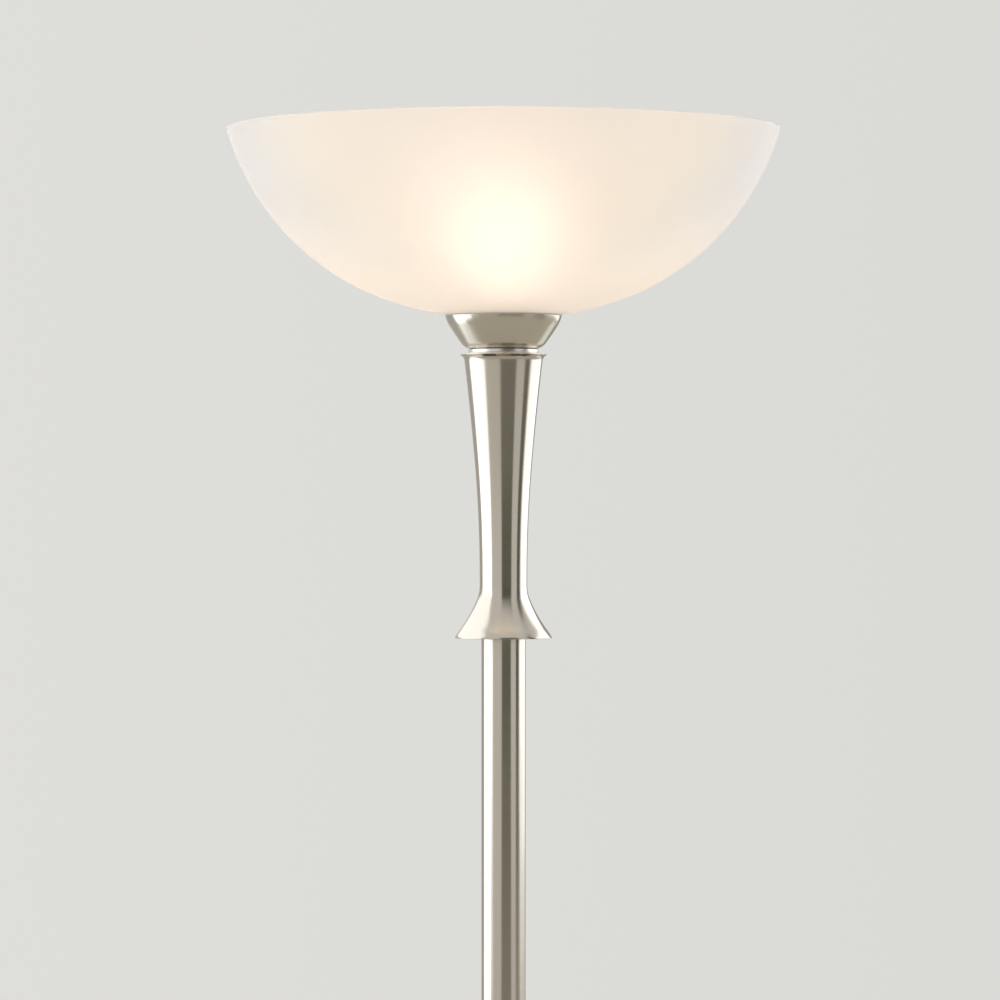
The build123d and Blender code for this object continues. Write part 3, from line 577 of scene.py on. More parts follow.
NICKEL = BrushedMetal("satin_nickel", "satin_nickel")
NICKEL_COVER = replace(NICKEL, name="satin_nickel_cover", roughness=0.22, pitch=0.4)
NICKEL_DIMMER = replace(NICKEL, name="satin_nickel_dimmer", axis=DIMMER_AXIS)
NICKEL_ARM = replace(NICKEL, name="satin_nickel_arm", axis=ARM_AXIS, lay=Lay.ALONG)
NICKEL_KNUCKLE = replace(NICKEL, name="satin_nickel_knuckle", axis=KNUCKLE_AXIS)
NICKEL_HEAD = replace(NICKEL, name="satin_nickel_head", axis=HEAD_AXIS)
NICKEL_SWITCH = replace(NICKEL, name="satin_nickel_switch", axis=SWITCH_AXIS)
BRIGHT = BrushedMetal("bright_nickel", "polished_nickel", *BRIGHT_TONES, 0.3, 0.3, depth=0.001)
STEEL = BrushedMetal("zinc_steel", "steel", *STEEL_TONES, 0.36, 0.2, pitch=0.5)
STEEL_HEAD = replace(STEEL, name="zinc_steel_head", axis=HEAD_AXIS)
STEEL_KNUCKLE = replace(STEEL, name="zinc_steel_knuckle", roughness=0.34, axis=KNUCKLE_AXIS)
BRASS = BrushedMetal("bare_brass", "brass", *BRASS_TONES, 0.3, 0.2, pitch=0.5)
CAP_METAL = BrushedMetal("cap_aluminium", "cap_metal", *CAP_TONES, 0.3, 0.1, pitch=0.6)
IRON = CastIron()
FELT = Felt()
RUBBER = Moulded("clear_rubber", "rubber", *RUBBER_TONES, 0.55, 900.0, 0.03)
NYLON = Moulded("natural_nylon", "nylon", *NYLON_TONES, 0.42, 1400.0, 0.01, soft=0.2)
BLACK = Moulded("black_plastic", "black_plastic", *BLACK_TONES, 0.36, 2200.0, 0.02)
WHITE = Moulded("white_plastic", "white_plastic", *WHITE_TONES, 0.38, 1900.0, 0.01)
PORCELAIN = Moulded("glazed_porcelain", "porcelain", *PORCELAIN_TONES, 0.3, 160.0, 0.02, coat=1.0)
SLEEVING = Moulded("lead_sleeving", "lead", *SLEEVING_TONES, 0.4, 700.0, 0.02)
LIT_OPAL = LitOpal()
OPAL = OpalGlass()
LIT_BULB = BulbGlass("lit_bulb", "lit_bulb", 5.5)
DARK_BULB = BulbGlass("white_bulb", "clear_white_bulb")


# ------------------------------------------------------------------------------- shaping


def revolve(bm: Mesh, steps: int, angle: float = FULL_TURN) -> None:
    """Spin everything in a mesh round the Z axis.

    Args:
        bm: The mesh.
        steps: Facets round the axis.
        angle: How far it turns.
    """
    closed = angle == FULL_TURN
    geom = [*bm.verts, *bm.edges]
    bmesh.ops.spin(bm, geom=geom, cent=ORIGIN, axis=UP, angle=angle, steps=steps, use_merge=closed)


def only(kind: type, geom: Sequence[object]) -> list:
    """Return what an operator gave back of one kind."""
    return [item for item in geom if isinstance(item, kind)]


def object_of(name: str, bm: Mesh, material: Optional[Material] = None) -> bpy.types.Object:
    """Make an object of a mesh in metres, which is used up.

    Args:
        name: The object's name.
        bm: Its mesh.
        material: Its material, if it has one.

    Returns:
        The object.
    """
    mesh = bpy.data.meshes.new(name)
    bm.to_mesh(mesh)
    bm.free()
    if material is not None:
        mesh.materials.append(material)
    thing = bpy.data.objects.new(name, mesh)
    bpy.context.scene.collection.objects.link(thing)
    return thing


class Outline:
    """A section drawn in the XZ plane by lines and tangent arcs, which is then spun."""

    def __init__(self, x: float, z: float, heading: float = 0.0, base: float = 0.0) -> None:
        """Start the outline.

        Args:
            x: Distance from the axis.
            z: Height above the base.
            heading: Direction of travel in degrees, from +X towards +Z.
            base: The height that every other height is counted from.
        """
        self.bm = bmesh.new()
        self.base = base
        self.first = self.tip = self.bm.verts.new((x, 0.0, base + z))
        self.face(heading)

    def face(self, heading: float) -> Outline:
        """Turn on the spot to a direction in degrees, from +X towards +Z."""
        turn = math.radians(heading)
        self.heading = Vector((math.cos(turn), math.sin(turn)))
        return self

    def line(self, x: float, z: float) -> Outline:
        """Draw a straight run to a point.

        Args:
            x: Distance from the axis.
            z: Height above the base.

        Returns:
            The outline itself.
        """
        grown = bmesh.ops.extrude_vert_indiv(self.bm, verts=[self.tip])["verts"][0]
        run = Vector((x - grown.co.x, 0.0, self.base + z - grown.co.z))
        self.heading = run.xz.normalized()
        bmesh.ops.translate(self.bm, verts=[grown], vec=run)
        self.tip = grown
        return self

    def path(self, *points: Point) -> Outline:
        """Draw straight runs through points, each given as (distance, height)."""
        for x, z in points:
            self.line(x, z)
        return self

    def arc(self, x: float, z: float, steps: int = 16) -> Outline:
        """Draw an arc that leaves along the present heading and ends at a point.

        Args:
            x: Distance of its end from the axis.
            z: Height of its end above the base.
            steps: Number of facets.

        Returns:
            The outline itself.
        """
        start = self.tip.co.xz
        chord = Vector((x, self.base + z)) - start
        left = Vector((-self.heading.y, self.heading.x))
        offset = chord.dot(left)
        if abs(offset) < 1e-6:
            return self.line(x, z)
        centre = start + left * (chord.length_squared / (2 * offset))
        turn = 2 * math.atan2(offset, chord.dot(self.heading))
        last = bmesh.ops.spin(
            self.bm,
            geom=[self.tip],
            cent=(centre.x, 0, centre.y),
            axis=(0, -1, 0),
            angle=turn,
            steps=steps,
            use_merge=False,
        )["geom_last"]
        self.tip = only(bmesh.types.BMVert, last)[0]
        self.heading.rotate(Matrix.Rotation(turn, 2))
        return self

    def back(self, heading: float) -> Outline:
        """Go back to the start, to draw from there in another direction in degrees."""
        self.tip = self.first
        return self.face(heading)

    def close(self) -> Outline:
        """Join the last point to the first."""
        self.bm.edges.new((self.tip, self.first))
        return self


def spun(outline: Outline, steps: int = 160, outer: Optional[Side] = None) -> Mesh:
    """Spin an outline round the Z axis.

    Args:
        outline: The section. A closed one, or one that ends on the axis, gives a solid.
        steps: Facets round the axis.
        outer: For an open section, the side of its first run that faces outwards.

    Returns:
        The spun mesh, with its normals outwards.
    """
    bm = outline.bm
    bm.verts.ensure_lookup_table()
    run = (bm.verts[1].co - bm.verts[0].co).normalized()
    revolve(bm, steps)
    bmesh.ops.remove_doubles(bm, verts=bm.verts, dist=1e-4)
    bmesh.ops.recalc_face_normals(bm, faces=bm.faces)
    if outer is not None:
        bm.verts.ensure_lookup_table()
        face = bm.verts[0].link_faces[0]
        away = face.calc_center_median().xy.normalized()
        normal = Vector((face.normal.xy.dot(away), face.normal.z))
        if normal.dot(Vector((-run.z, run.x)) * outer.value) < 0:
            bmesh.ops.reverse_faces(bm, faces=bm.faces)
    return bm


def bead(reach: float, height: float, radius: float, steps: int = 160, facets: int = 20) -> Mesh:
    """Make the round bead of a rolled edge.

    Args:
        reach: Distance of the bead's middle from the Z axis.
        height: Height of its middle.
        radius: The bead's own radius.
        steps: Facets round the axis.
        facets: Facets round the bead.

    Returns:
        The ring.
    """
    bm = bmesh.new()
    stand = Matrix.Translation((reach, 0, height)) @ Matrix.Rotation(math.pi / 2, 4, "X")
    bmesh.ops.create_circle(bm, segments=facets, radius=radius, matrix=stand)
    revolve(bm, steps)
    bmesh.ops.recalc_face_normals(bm, faces=bm.faces)
    return bm


def turned(points: Sequence[Point], steps: int = 128, base: float = 0.0) -> Mesh:
    """Turn a solid from a section of straight runs, closed or from axis to axis.

    Args:
        points: The section's corners as (distance from the axis, height).
        steps: Facets round the axis.
        base: The height that the corners' heights are counted from.

    Returns:
        The solid.
    """
    outline = Outline(*points[0], base=base).path(*points[1:])
    if points[0][0]:
        outline.close()
    return spun(outline, steps)


def sleeve(bore: float, radius: float, bottom: float, top: float) -> Mesh:
    """Turn a plain ring or tube between two heights, from its bore to its radius."""
    return turned([(bore, bottom), (radius, bottom), (radius, top), (bore, top)])


def cylinder(radius: float, bottom: float, top: float, sides: int = 48) -> Mesh:
    """Make a plain cylinder between two heights, with this many sides."""
    bm = bmesh.new()
    place = Matrix.Translation((0, 0, (bottom + top) / 2))
    bmesh.ops.create_cone(
        bm,
        cap_ends=True,
        segments=sides,
        radius1=radius,
        radius2=radius,
        depth=top - bottom,
        matrix=place,
    )
    return bm


def raised(bm: Mesh, height: float) -> list[bmesh.types.BMVert]:
    """Extrude a mesh's flat faces upwards.

    Args:
        bm: The mesh.
        height: How far up.

    Returns:
        The vertices of the top.
    """
    grown = bmesh.ops.extrude_face_region(bm, geom=list(bm.faces))["geom"]
    top = only(bmesh.types.BMVert, grown)
    bmesh.ops.translate(bm, verts=top, vec=(0, 0, height))
    return top


def hex_nut(flats: float, bore: float, bottom: float, height: float) -> Mesh:
    """Make a six-sided nut.

    Args:
        flats: Its size across flats.
        bore: Radius of its bore.
        bottom: Height of its lower face.
        height: Its own height.

    Returns:
        The nut.
    """
    bm = bmesh.new()
    place = Matrix.Translation((0, 0, bottom))
    corner = flats / 2 / math.cos(math.pi / 6)
    for sides, radius in ((6, corner), (48, bore)):
        bmesh.ops.create_circle(bm, segments=sides, radius=radius, matrix=place)
    bmesh.ops.triangle_fill(bm, edges=list(bm.edges), use_beauty=True)
    raised(bm, height)
    bmesh.ops.recalc_face_normals(bm, faces=bm.faces)
    return bm


@dataclass(frozen=True)
class FingerKnob:
    """A round knob with flutes down its side, standing on its back."""

    radius: float
    length: float
    back: float
    edge: float
    taper: float = 0.0
    dish: float = 0.0
    bore: float = 0.0
    flutes: int = 12
    flute_radius: float = 1.2
    flute_outset: float = 0.4
    land: float = 1.0

    def form(self) -> Mesh:
        """Spin the knob and press its flutes in."""
        front, edge = self.radius - self.taper, self.edge
        outline = Outline(self.bore, 0, base=self.back).line(self.radius, 0)
        outline.line(self.radius - self.taper * (1 - edge / self.length), self.length - edge)
        outline.arc(front - edge, self.length, 6)
        if self.dish:
            outline.line(front - 2 * edge, self.length)
            outline.line(front - 2.6 * edge, self.length - self.dish)
        else:
            outline.line(front - edge - self.land, self.length)
        outline.line(self.bore, self.length - self.dish)
        if self.bore:
            outline.close()
        bm = spun(outline, 360)
        pitch = 360 / self.flutes
        for vert in bm.verts:
            reach = vert.co.xy.length
            if reach < front - 1.5 * edge:
                continue
            bearing = math.degrees(math.atan2(vert.co.y, vert.co.x))
            aside = reach * math.radians((bearing + pitch / 2) % pitch - pitch / 2)
            cut = math.sqrt(max(0.0, self.flute_radius**2 - aside**2)) - self.flute_outset
            if cut > 0:
                share = (reach - cut) / reach
                bmesh.ops.scale(bm, verts=[vert], vec=(share, share, 1))
        return bm


@dataclass(frozen=True)
class GlassForm:
    """A blown glass shell: a flat arc round its hole, then a tighter one out to its rim."""

    apex: float
    way: int
    crown: float
    reach: float
    rim: float
    depth: float
    wall: float
    hole: float
    facets: tuple[int, int]
    steps: int

    def form(self) -> Mesh:
        """Spin the outer face, which opens upwards if its way is 1 and downwards if -1."""
        angle = math.asin(self.hole / (self.crown - self.wall))
        rise = self.crown * (1 - math.cos(angle))
        knee = self.crown - math.sqrt(self.crown**2 - self.reach**2)
        start = (self.crown * math.sin(angle), self.way * rise, self.way * math.degrees(angle))
        outline = Outline(*start, self.apex).arc(self.reach, self.way * knee, self.facets[0])
        outline.arc(self.rim, self.way * self.depth, self.facets[1])
        return spun(outline, self.steps, Side(-self.way))


# ------------------------------------------------------------------------------- pieces


@dataclass
class Assembly:
    """A sub-assembly that rides on one body of the lamp."""

    body: Body = Body.STAND
    pieces: list[str] = field(default_factory=list)

    def place(
        self,
        name: str,
        parts: Sequence[Mesh],
        finish: Finish,
        node: str,
        wall: float = 0.0,
        edge: float = 0.0,
        axis: Axis = UPRIGHT,
    ) -> bpy.types.Object:
        """Make one piece of a few shells, dress it and hang it on its body.

        Args:
            name: The piece's name.
            parts: Its shells, in millimetres in the axis's own frame.
            finish: Its finish.
            node: The CAD node that it stands for.
            wall: Thickness that its faces grow inwards, or 0 if they close a solid.
            edge: Radius of its sharp edges, or 0 to leave them.
            axis: Where its own Z axis lies in the lamp.

        Returns:
            The finished object.
        """
        joined = bmesh.new()
        for part in parts:
            shell = bpy.data.meshes.new(name)
            part.to_mesh(shell)
            part.free()
            joined.from_mesh(shell)
            bpy.data.meshes.remove(shell)
        to_lamp = Matrix.Scale(MM, 4) @ axis.frame()
        bmesh.ops.transform(joined, matrix=to_lamp, verts=joined.verts)
        piece = object_of(name, joined, finish.material())
        piece.data.shade_smooth()
        piece.data.set_sharp_from_angle(angle=SHARP)
        if wall:
            thicken = piece.modifiers.new("wall", "SOLIDIFY")
            thicken.thickness = wall * MM
            thicken.offset = -1.0
            thicken.use_even_offset = True
        if edge:
            soften = piece.modifiers.new("edges", "BEVEL")
            soften.width = edge * MM
            soften.segments = 3
            soften.limit_method = "ANGLE"
            soften.angle_limit = ROUNDED
            soften.harden_normals = True
        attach(piece, self.body.value)
        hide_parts(node)
        self.pieces.append(name)
        return piece

    def soften(self, node: str, finish: Finish, edge: float) -> None:
        """Stand in for a machined CAD node with a copy of it whose edges are rounded.

        Args:
            node: The CAD node.
            finish: Its finish.
            edge: Radius of its sharp edges.
        """
        copy = bmesh.new()
        copy.from_mesh(bpy.data.objects[node].data)
        bmesh.ops.scale(copy, verts=copy.verts, vec=(1 / MM,) * 3)
        bmesh.ops.remove_doubles(copy, verts=copy.verts, dist=1e-3)
        bmesh.ops.dissolve_limit(copy, angle_limit=FLAT, verts=copy.verts, edges=copy.edges)
        self.place(node + "_finished", [copy], finish, node, edge=edge)

    def dress(self, finish: Finish, *nodes: str) -> None:
        """Give CAD nodes that keep their shape a finish.

        Args:
            finish: The finish.
            *nodes: The nodes' names.
        """
        for node in nodes:
            solid = bpy.data.objects[node]
            if not solid.material_slots:
                solid.data.materials.append(None)
            for material_slot in solid.material_slots:
                material_slot.material = finish.material()
            self.pieces.append(node)

    @staticmethod
    def heights(node: str) -> Point:
        """Return the lowest and the highest Z of a CAD node in millimetres."""
        low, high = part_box(node)
        return low.z / MM, high.z / MM


@dataclass
class Foot(Assembly):
    """The weighted foot under its spun cover, and the skirt round the pole."""

    cover_radius: float = 140.0
    cover_bottom: float = 1.0
    cover_wall: float = 1.0
    side_top: float = 18.0
    shoulder: Point = (133.0, 26.5)
    crown: Point = (50.0, 35.0)
    pipe_hole: float = 4.9
    inlet_hole: float = 5.0
    inlet_bore: float = 3.3
    inlet_reach: float = 10.0
    bushing_inside: float = 132.0
    bushing_outside: float = 142.0
    flange_radius: float = 6.5
    flange_round: float = 0.8
    skirt_neck: float = 17.2
    skirt_top: float = 109.4
    skirt_straight: float = 87.0
    skirt_foot: Point = (44.4, 36.6)
    skirt_bead: float = 1.6
    skirt_roll: float = 17.8
    skirt_wall: float = 1.0

    def build(self) -> None:
        """Build and dress the foot."""
        self.dress(FELT, "base_pad")
        self.dress(IRON, "base_weight")
        self.dress(STEEL, "foot_pipe", "foot_plug")
        self.cover()
        self.bushing()
        neck = Outline(self.skirt_neck, self.skirt_top).line(self.skirt_neck, self.skirt_straight)
        skirt = spun(neck.arc(*self.skirt_foot, 40), 192, Side.LEFT)
        upper = bead(self.skirt_roll, self.skirt_top, self.skirt_bead)
        shells = [skirt, bead(*self.skirt_foot, self.skirt_bead), upper]
        self.place("flared_skirt", shells, NICKEL, "pole_skirt", wall=self.skirt_wall)

    def cover(self) -> None:
        """Spin the cover over the weight and cut the cord's hole in its back."""
        radius = self.cover_radius
        outline = Outline(radius, self.cover_bottom).line(radius, self.side_top)
        outline.arc(*self.shoulder, 14).arc(*self.crown, 40).line(self.pipe_hole, self.crown[1])
        shell = spun(outline, 240, Side.RIGHT)
        wall = self.cover_wall
        piece = self.place("foot_cover", [shell], NICKEL_COVER, "base_cover", wall=wall, edge=0.25)
        near, far = radius - self.inlet_reach, radius + self.inlet_reach
        cutter = cylinder(self.inlet_hole, near, far)
        to_lamp = Matrix.Scale(MM, 4) @ INLET_AXIS.frame()
        bmesh.ops.transform(cutter, matrix=to_lamp, verts=cutter.verts)
        tool = object_of("inlet_cutter", cutter)
        cut = piece.modifiers.new("inlet", "BOOLEAN")
        cut.operation = "DIFFERENCE"
        cut.solver = "EXACT"
        cut.object = tool
        graph = bpy.context.evaluated_depsgraph_get()
        finished = bpy.data.meshes.new_from_object(piece.evaluated_get(graph))
        piece.modifiers.clear()
        piece.data = finished
        bpy.data.objects.remove(tool)

    def bushing(self) -> None:
        """Turn the bushing that the mains cord comes in through."""
        inside, outside, barrel = self.bushing_inside, self.bushing_outside, self.inlet_hole - FIT
        outline = Outline(self.inlet_bore, inside).line(barrel, inside)
        outline.line(barrel, self.cover_radius).line(self.flange_radius, self.cover_radius)
        outline.line(self.flange_radius, outside - self.flange_round)
        outline.arc(self.flange_radius - self.flange_round, outside, 6)
        ring = spun(outline.line(self.inlet_bore, outside).close(), 64)
        self.place("inlet_bushing", [ring], BLACK, "cord_bushing", edge=0.2, axis=INLET_AXIS)


@dataclass
class Pole(Assembly):
    """The four tubes of the pole and the rings between them."""

    radius: float = 16.0
    bore: float = 14.8
    ring: float = 2.0
    spigot: float = 25.0
    ring_bore: float = 9.0
    chamfer: float = 0.35

    def build(self) -> None:
        """Build and dress the pole."""
        for node in ("lower_pole", "middle_pole", "switch_pole", "upper_pole"):
            tube = sleeve(self.bore, self.radius, *self.heights(node))
            self.place(node + "_tube", [tube], NICKEL, node, edge=self.chamfer)
        inner = self.bore - FIT
        for node in ("lower_joiner", "middle_joiner"):
            low, high = self.heights(node)
            seam = low + self.spigot
            section = [(self.ring_bore, low), (inner, low), (inner, seam), (self.radius, seam)]
            section += [(self.radius, seam + self.ring), (inner, seam + self.ring)]
            section += [(inner, high), (self.ring_bore, high)]
            self.place(node + "_ring", [turned(section)], NICKEL, node, edge=self.chamfer)
        self.dress(SLEEVING, "pole_leads")
        self.dress(STEEL, "head_plug")


@dataclass
class Dimmer(Assembly):
    """The main light's dimmer in the pole, with its saddle and nut on the pole's front."""

    seat: float = 19.0
    saddle_radius: float = 10.0
    saddle_back: float = 15.2
    saddle_round: float = 0.8
    bush: float = 4.95
    nut_flats: float = 14.0
    nut_height: float = 3.0

    def build(self) -> None:
        """Build and dress the dimmer's fixed pieces."""
        outline = Outline(self.bush, self.saddle_back).line(self.saddle_radius, self.saddle_back)
        outline.line(self.saddle_radius, self.seat - self.saddle_round)
        outline.arc(self.saddle_radius - self.saddle_round, self.seat, 6)
        saddle = spun(outline.line(self.bush, self.seat).close(), 96)
        nut = hex_nut(self.nut_flats, self.bush, self.seat, self.nut_height)
        pieces = (("dimmer_saddle", saddle, 0.0), ("dimmer_nut", nut, 0.3))
        for node, form, edge in pieces:
            self.place(node + "_piece", [form], NICKEL_DIMMER, node, edge=edge, axis=DIMMER_AXIS)
        self.dress(BLACK, "dimmer_body")


@dataclass
class DimmerKnob(Assembly):
    """The dimmer's fluted knob and its shaft, which turn together."""

    body: Body = Body.DIMMER
    knob: FingerKnob = FingerKnob(9.5, 15.0, back=23.6, edge=1.2, taper=0.79, dish=0.5)

    def build(self) -> None:
        """Build and dress the knob."""
        form = self.knob.form()
        self.place("dimmer_knob_piece", [form], NICKEL_DIMMER, "dimmer_knob", axis=DIMMER_AXIS)
        self.dress(STEEL, "dimmer_shaft")


@dataclass
class ArmHub(Assembly):
    """The core and cap that the arm's collar turns between."""

    edge: float = 0.3

    def build(self) -> None:
        """Dress the hub."""
        self.dress(NYLON, "slip_washers")
        for node in ("hub_core", "hub_cap"):
            self.soften(node, NICKEL, self.edge)


@dataclass
class ReadingArm(Assembly):
    """The swinging arm: collar, bent tube, fork and the knuckle's fixed pieces."""

    body: Body = Body.ARM
    start: float = 23.0
    height: float = 1060.0
    rise: float = 45.0
    first_run: float = 120.0
    rise_run: float = 185.0
    end: float = 285.0
    radius: float = 6.0
    bend: float = 70.0
    facets: int = 48

    def build(self) -> None:
        """Build and dress the arm."""
        self.place("bent_arm", [self.tube()], NICKEL_ARM, "reading_arm")
        self.soften("arm_collar", NICKEL, 0.25)
        self.soften("knuckle_fork", NICKEL_KNUCKLE, 0.35)
        self.dress(STEEL, "stop_screw", "arm_grub_screw")
        self.dress(SLEEVING, "arm_lead")
        self.dress(NYLON, "friction_washers")
        self.dress(STEEL_KNUCKLE, "spring_washer")
        self.dress(NICKEL_KNUCKLE, "knuckle_bolt")

    def tube(self) -> Mesh:
        """Extrude a ring along the arm's three straights and spin it round its two bends."""
        slope = math.atan2(self.rise, self.rise_run - self.first_run)
        cut = self.bend * math.tan(slope / 2)
        slant = math.hypot(self.rise_run - self.first_run, self.rise) - 2 * cut
        lower = (self.first_run - cut, self.height + self.bend)
        upper = (self.rise_run + cut, self.height + self.rise - self.bend)
        stand = Axis(self.start, 0.0, self.height, OUTWARD).frame()
        bm = bmesh.new()
        bmesh.ops.create_circle(bm, segments=self.facets, radius=self.radius, matrix=stand)
        edges = self.straight(bm, list(bm.edges), self.first_run - cut - self.start, 0.0)
        edges = self.turn(bm, edges, lower, slope, -1)
        edges = self.straight(bm, edges, slant, slope)
        edges = self.turn(bm, edges, upper, slope, 1)
        self.straight(bm, edges, self.end - self.rise_run - cut, 0.0)
        bmesh.ops.holes_fill(bm, edges=bm.edges)
        bmesh.ops.recalc_face_normals(bm, faces=bm.faces)
        return bm

    @staticmethod
    def straight(bm: Mesh, edges: Edges, length: float, slope: float) -> Edges:
        """Extrude the tube's open ring along a straight run.

        Args:
            bm: The tube so far.
            edges: Its open ring.
            length: Length of the run.
            slope: The run's angle above level.

        Returns:
            The new open ring.
        """
        grown = bmesh.ops.extrude_edge_only(bm, edges=edges)["geom"]
        along = (length * math.cos(slope), 0, length * math.sin(slope))
        bmesh.ops.translate(bm, verts=only(bmesh.types.BMVert, grown), vec=along)
        return only(bmesh.types.BMEdge, grown)

    @staticmethod
    def turn(bm: Mesh, edges: Edges, centre: Point, angle: float, way: int) -> Edges:
        """Spin the tube's open ring round a bend.

        Args:
            bm: The tube so far.
            edges: Its open ring.
            centre: The bend's centre, as (x, z).
            angle: How far it turns.
            way: -1 to turn up, 1 to turn down.

        Returns:
            The new open ring.
        """
        last = bmesh.ops.spin(
            bm,
            geom=list({vert for edge in edges for vert in edge.verts}) + edges,
            cent=(centre[0], 0, centre[1]),
            axis=(0, way, 0),
            angle=angle,
            steps=14,
            use_merge=False,
        )["geom_last"]
        return only(bmesh.types.BMEdge, last)


@dataclass
class ThumbNut(Assembly):
    """The fluted nut that sets the knuckle's friction."""

    body: Body = Body.THUMB_NUT
    knob: FingerKnob = FingerKnob(8.5, 7.0, back=9.2, edge=0.7, bore=2.55)

    def build(self) -> None:
        """Build and dress the nut."""
        form = self.knob.form()
        self.place("thumb_nut_piece", [form], NICKEL_KNUCKLE, "thumb_nut", axis=KNUCKLE_AXIS)


@dataclass
class ReadingHead(Assembly):
    """The reading light's head: knuckle eye, cup, socket, glass shade and bulb."""

    body: Body = Body.HEAD
    cup_top: float = 1085.0
    cup_radius: float = 19.0
    cup_shoulder: float = 13.0
    cup_height: float = 46.0
    cup_wall: float = 1.0
    stem_hole: float = 3.05
    glass: GlassForm = GlassForm(1042.76, -1, 45.0, 30.0, 62.0, 72.0, 3.0, 15.0, (10, 36), 192)
    socket_bottom: float = 1026.0
    socket_radius: float = 14.5
    socket_length: float = 53.0
    socket_floor: float = 45.0
    well: Point = (9.5, 26.0)
    ring_radius: float = 20.0
    ring_slope: float = 2.5
    bulb_base: float = 8.3
    bulb_turns: tuple[Point, ...] = ((15.15, -15.5), (22.0, -31.0), (16.94, -39.09), (0.0, -43.0))

    def build(self) -> None:
        """Build and dress the head."""
        self.soften("knuckle_eye", NICKEL_KNUCKLE, 0.35)
        shoulder = self.cup_shoulder
        cup = Outline(self.stem_hole, 0, base=self.cup_top).line(self.cup_radius - shoulder, 0)
        cup.arc(self.cup_radius, -shoulder, 20).line(self.cup_radius, -self.cup_height)
        shell, wall = spun(cup, 128, Side.LEFT), self.cup_wall
        self.put("head_cup_shell", shell, NICKEL_HEAD, "head_cup", wall=wall, edge=0.25)
        wall = self.glass.wall
        self.put("reading_shade", self.glass.form(), OPAL, "head_shade", wall=wall, edge=0.6)
        self.put("reading_bulb", self.bulb(), DARK_BULB, "head_bulb")
        self.socket()
        self.dress(BRASS, "head_shell", "head_contact")
        self.dress(CAP_METAL, "head_bulb_cap")
        self.dress(STEEL_HEAD, "stem_nut")
        self.dress(NICKEL_SWITCH, "switch_bush")

    def put(self, name: str, form: Mesh, finish: Finish, node: str, **sizes: float) -> None:
        """Place a piece of one shell on the head's own axis."""
        self.place(name, [form], finish, node, axis=HEAD_AXIS, **sizes)

    def bulb(self) -> Mesh:
        """Spin the reflector bulb, which widens from its cap to a domed face."""
        outline = Outline(0, 0, base=self.socket_bottom).line(self.bulb_base, 0).face(-90)
        for (x, z), steps in zip(self.bulb_turns, (12, 12, 10, 12)):
            outline.arc(x, z, steps)
        return spun(outline, 96)

    def socket(self) -> None:
        """Turn the socket and the ring that clamps the glass against the cup."""
        floor, top, radius = self.socket_floor, self.socket_length, self.socket_radius
        section = [(0, floor), (self.stem_hole, floor), (self.stem_hole, top), (radius, top)]
        section += [(radius, 0), (self.well[0], 0), self.well, (0, self.well[1])]
        body = turned(section, 96, self.socket_bottom)
        self.put("reading_socket", body, WHITE, "head_socket", edge=0.4)
        low, high = self.heights("head_ring")
        inner, outer = self.socket_radius + FIT, self.ring_radius
        section = [(inner, low), (outer, low), (outer, high - self.ring_slope), (inner, high)]
        self.put("glass_ring", turned(section, 120), WHITE, "head_ring", edge=0.6)


@dataclass
class SwitchKnob(Assembly):
    """The reading light's turn switch: an oval key on a short shaft."""

    body: Body = Body.SWITCH_KNOB
    back: float = 20.7
    length: float = 12.0
    width: float = 7.5
    thickness: float = 3.25
    narrowing: Point = (0.88, 0.945)
    shaft: float = 1.6
    shaft_back: float = 14.7

    def build(self) -> None:
        """Build and dress the key."""
        key = bmesh.new()
        bmesh.ops.create_circle(key, cap_ends=True, segments=72, radius=1.0)
        bmesh.ops.scale(key, verts=key.verts, vec=(self.thickness, self.width, 1))
        bmesh.ops.scale(key, verts=raised(key, self.length), vec=(*self.narrowing, 1))
        bmesh.ops.recalc_face_normals(key, faces=key.faces)
        bmesh.ops.translate(key, verts=key.verts, vec=(0, 0, self.back))
        shaft = cylinder(self.shaft, self.shaft_back, self.back, 32)
        self.place("switch_key", [key, shaft], BLACK, "switch_knob", edge=0.9, axis=SWITCH_AXIS)


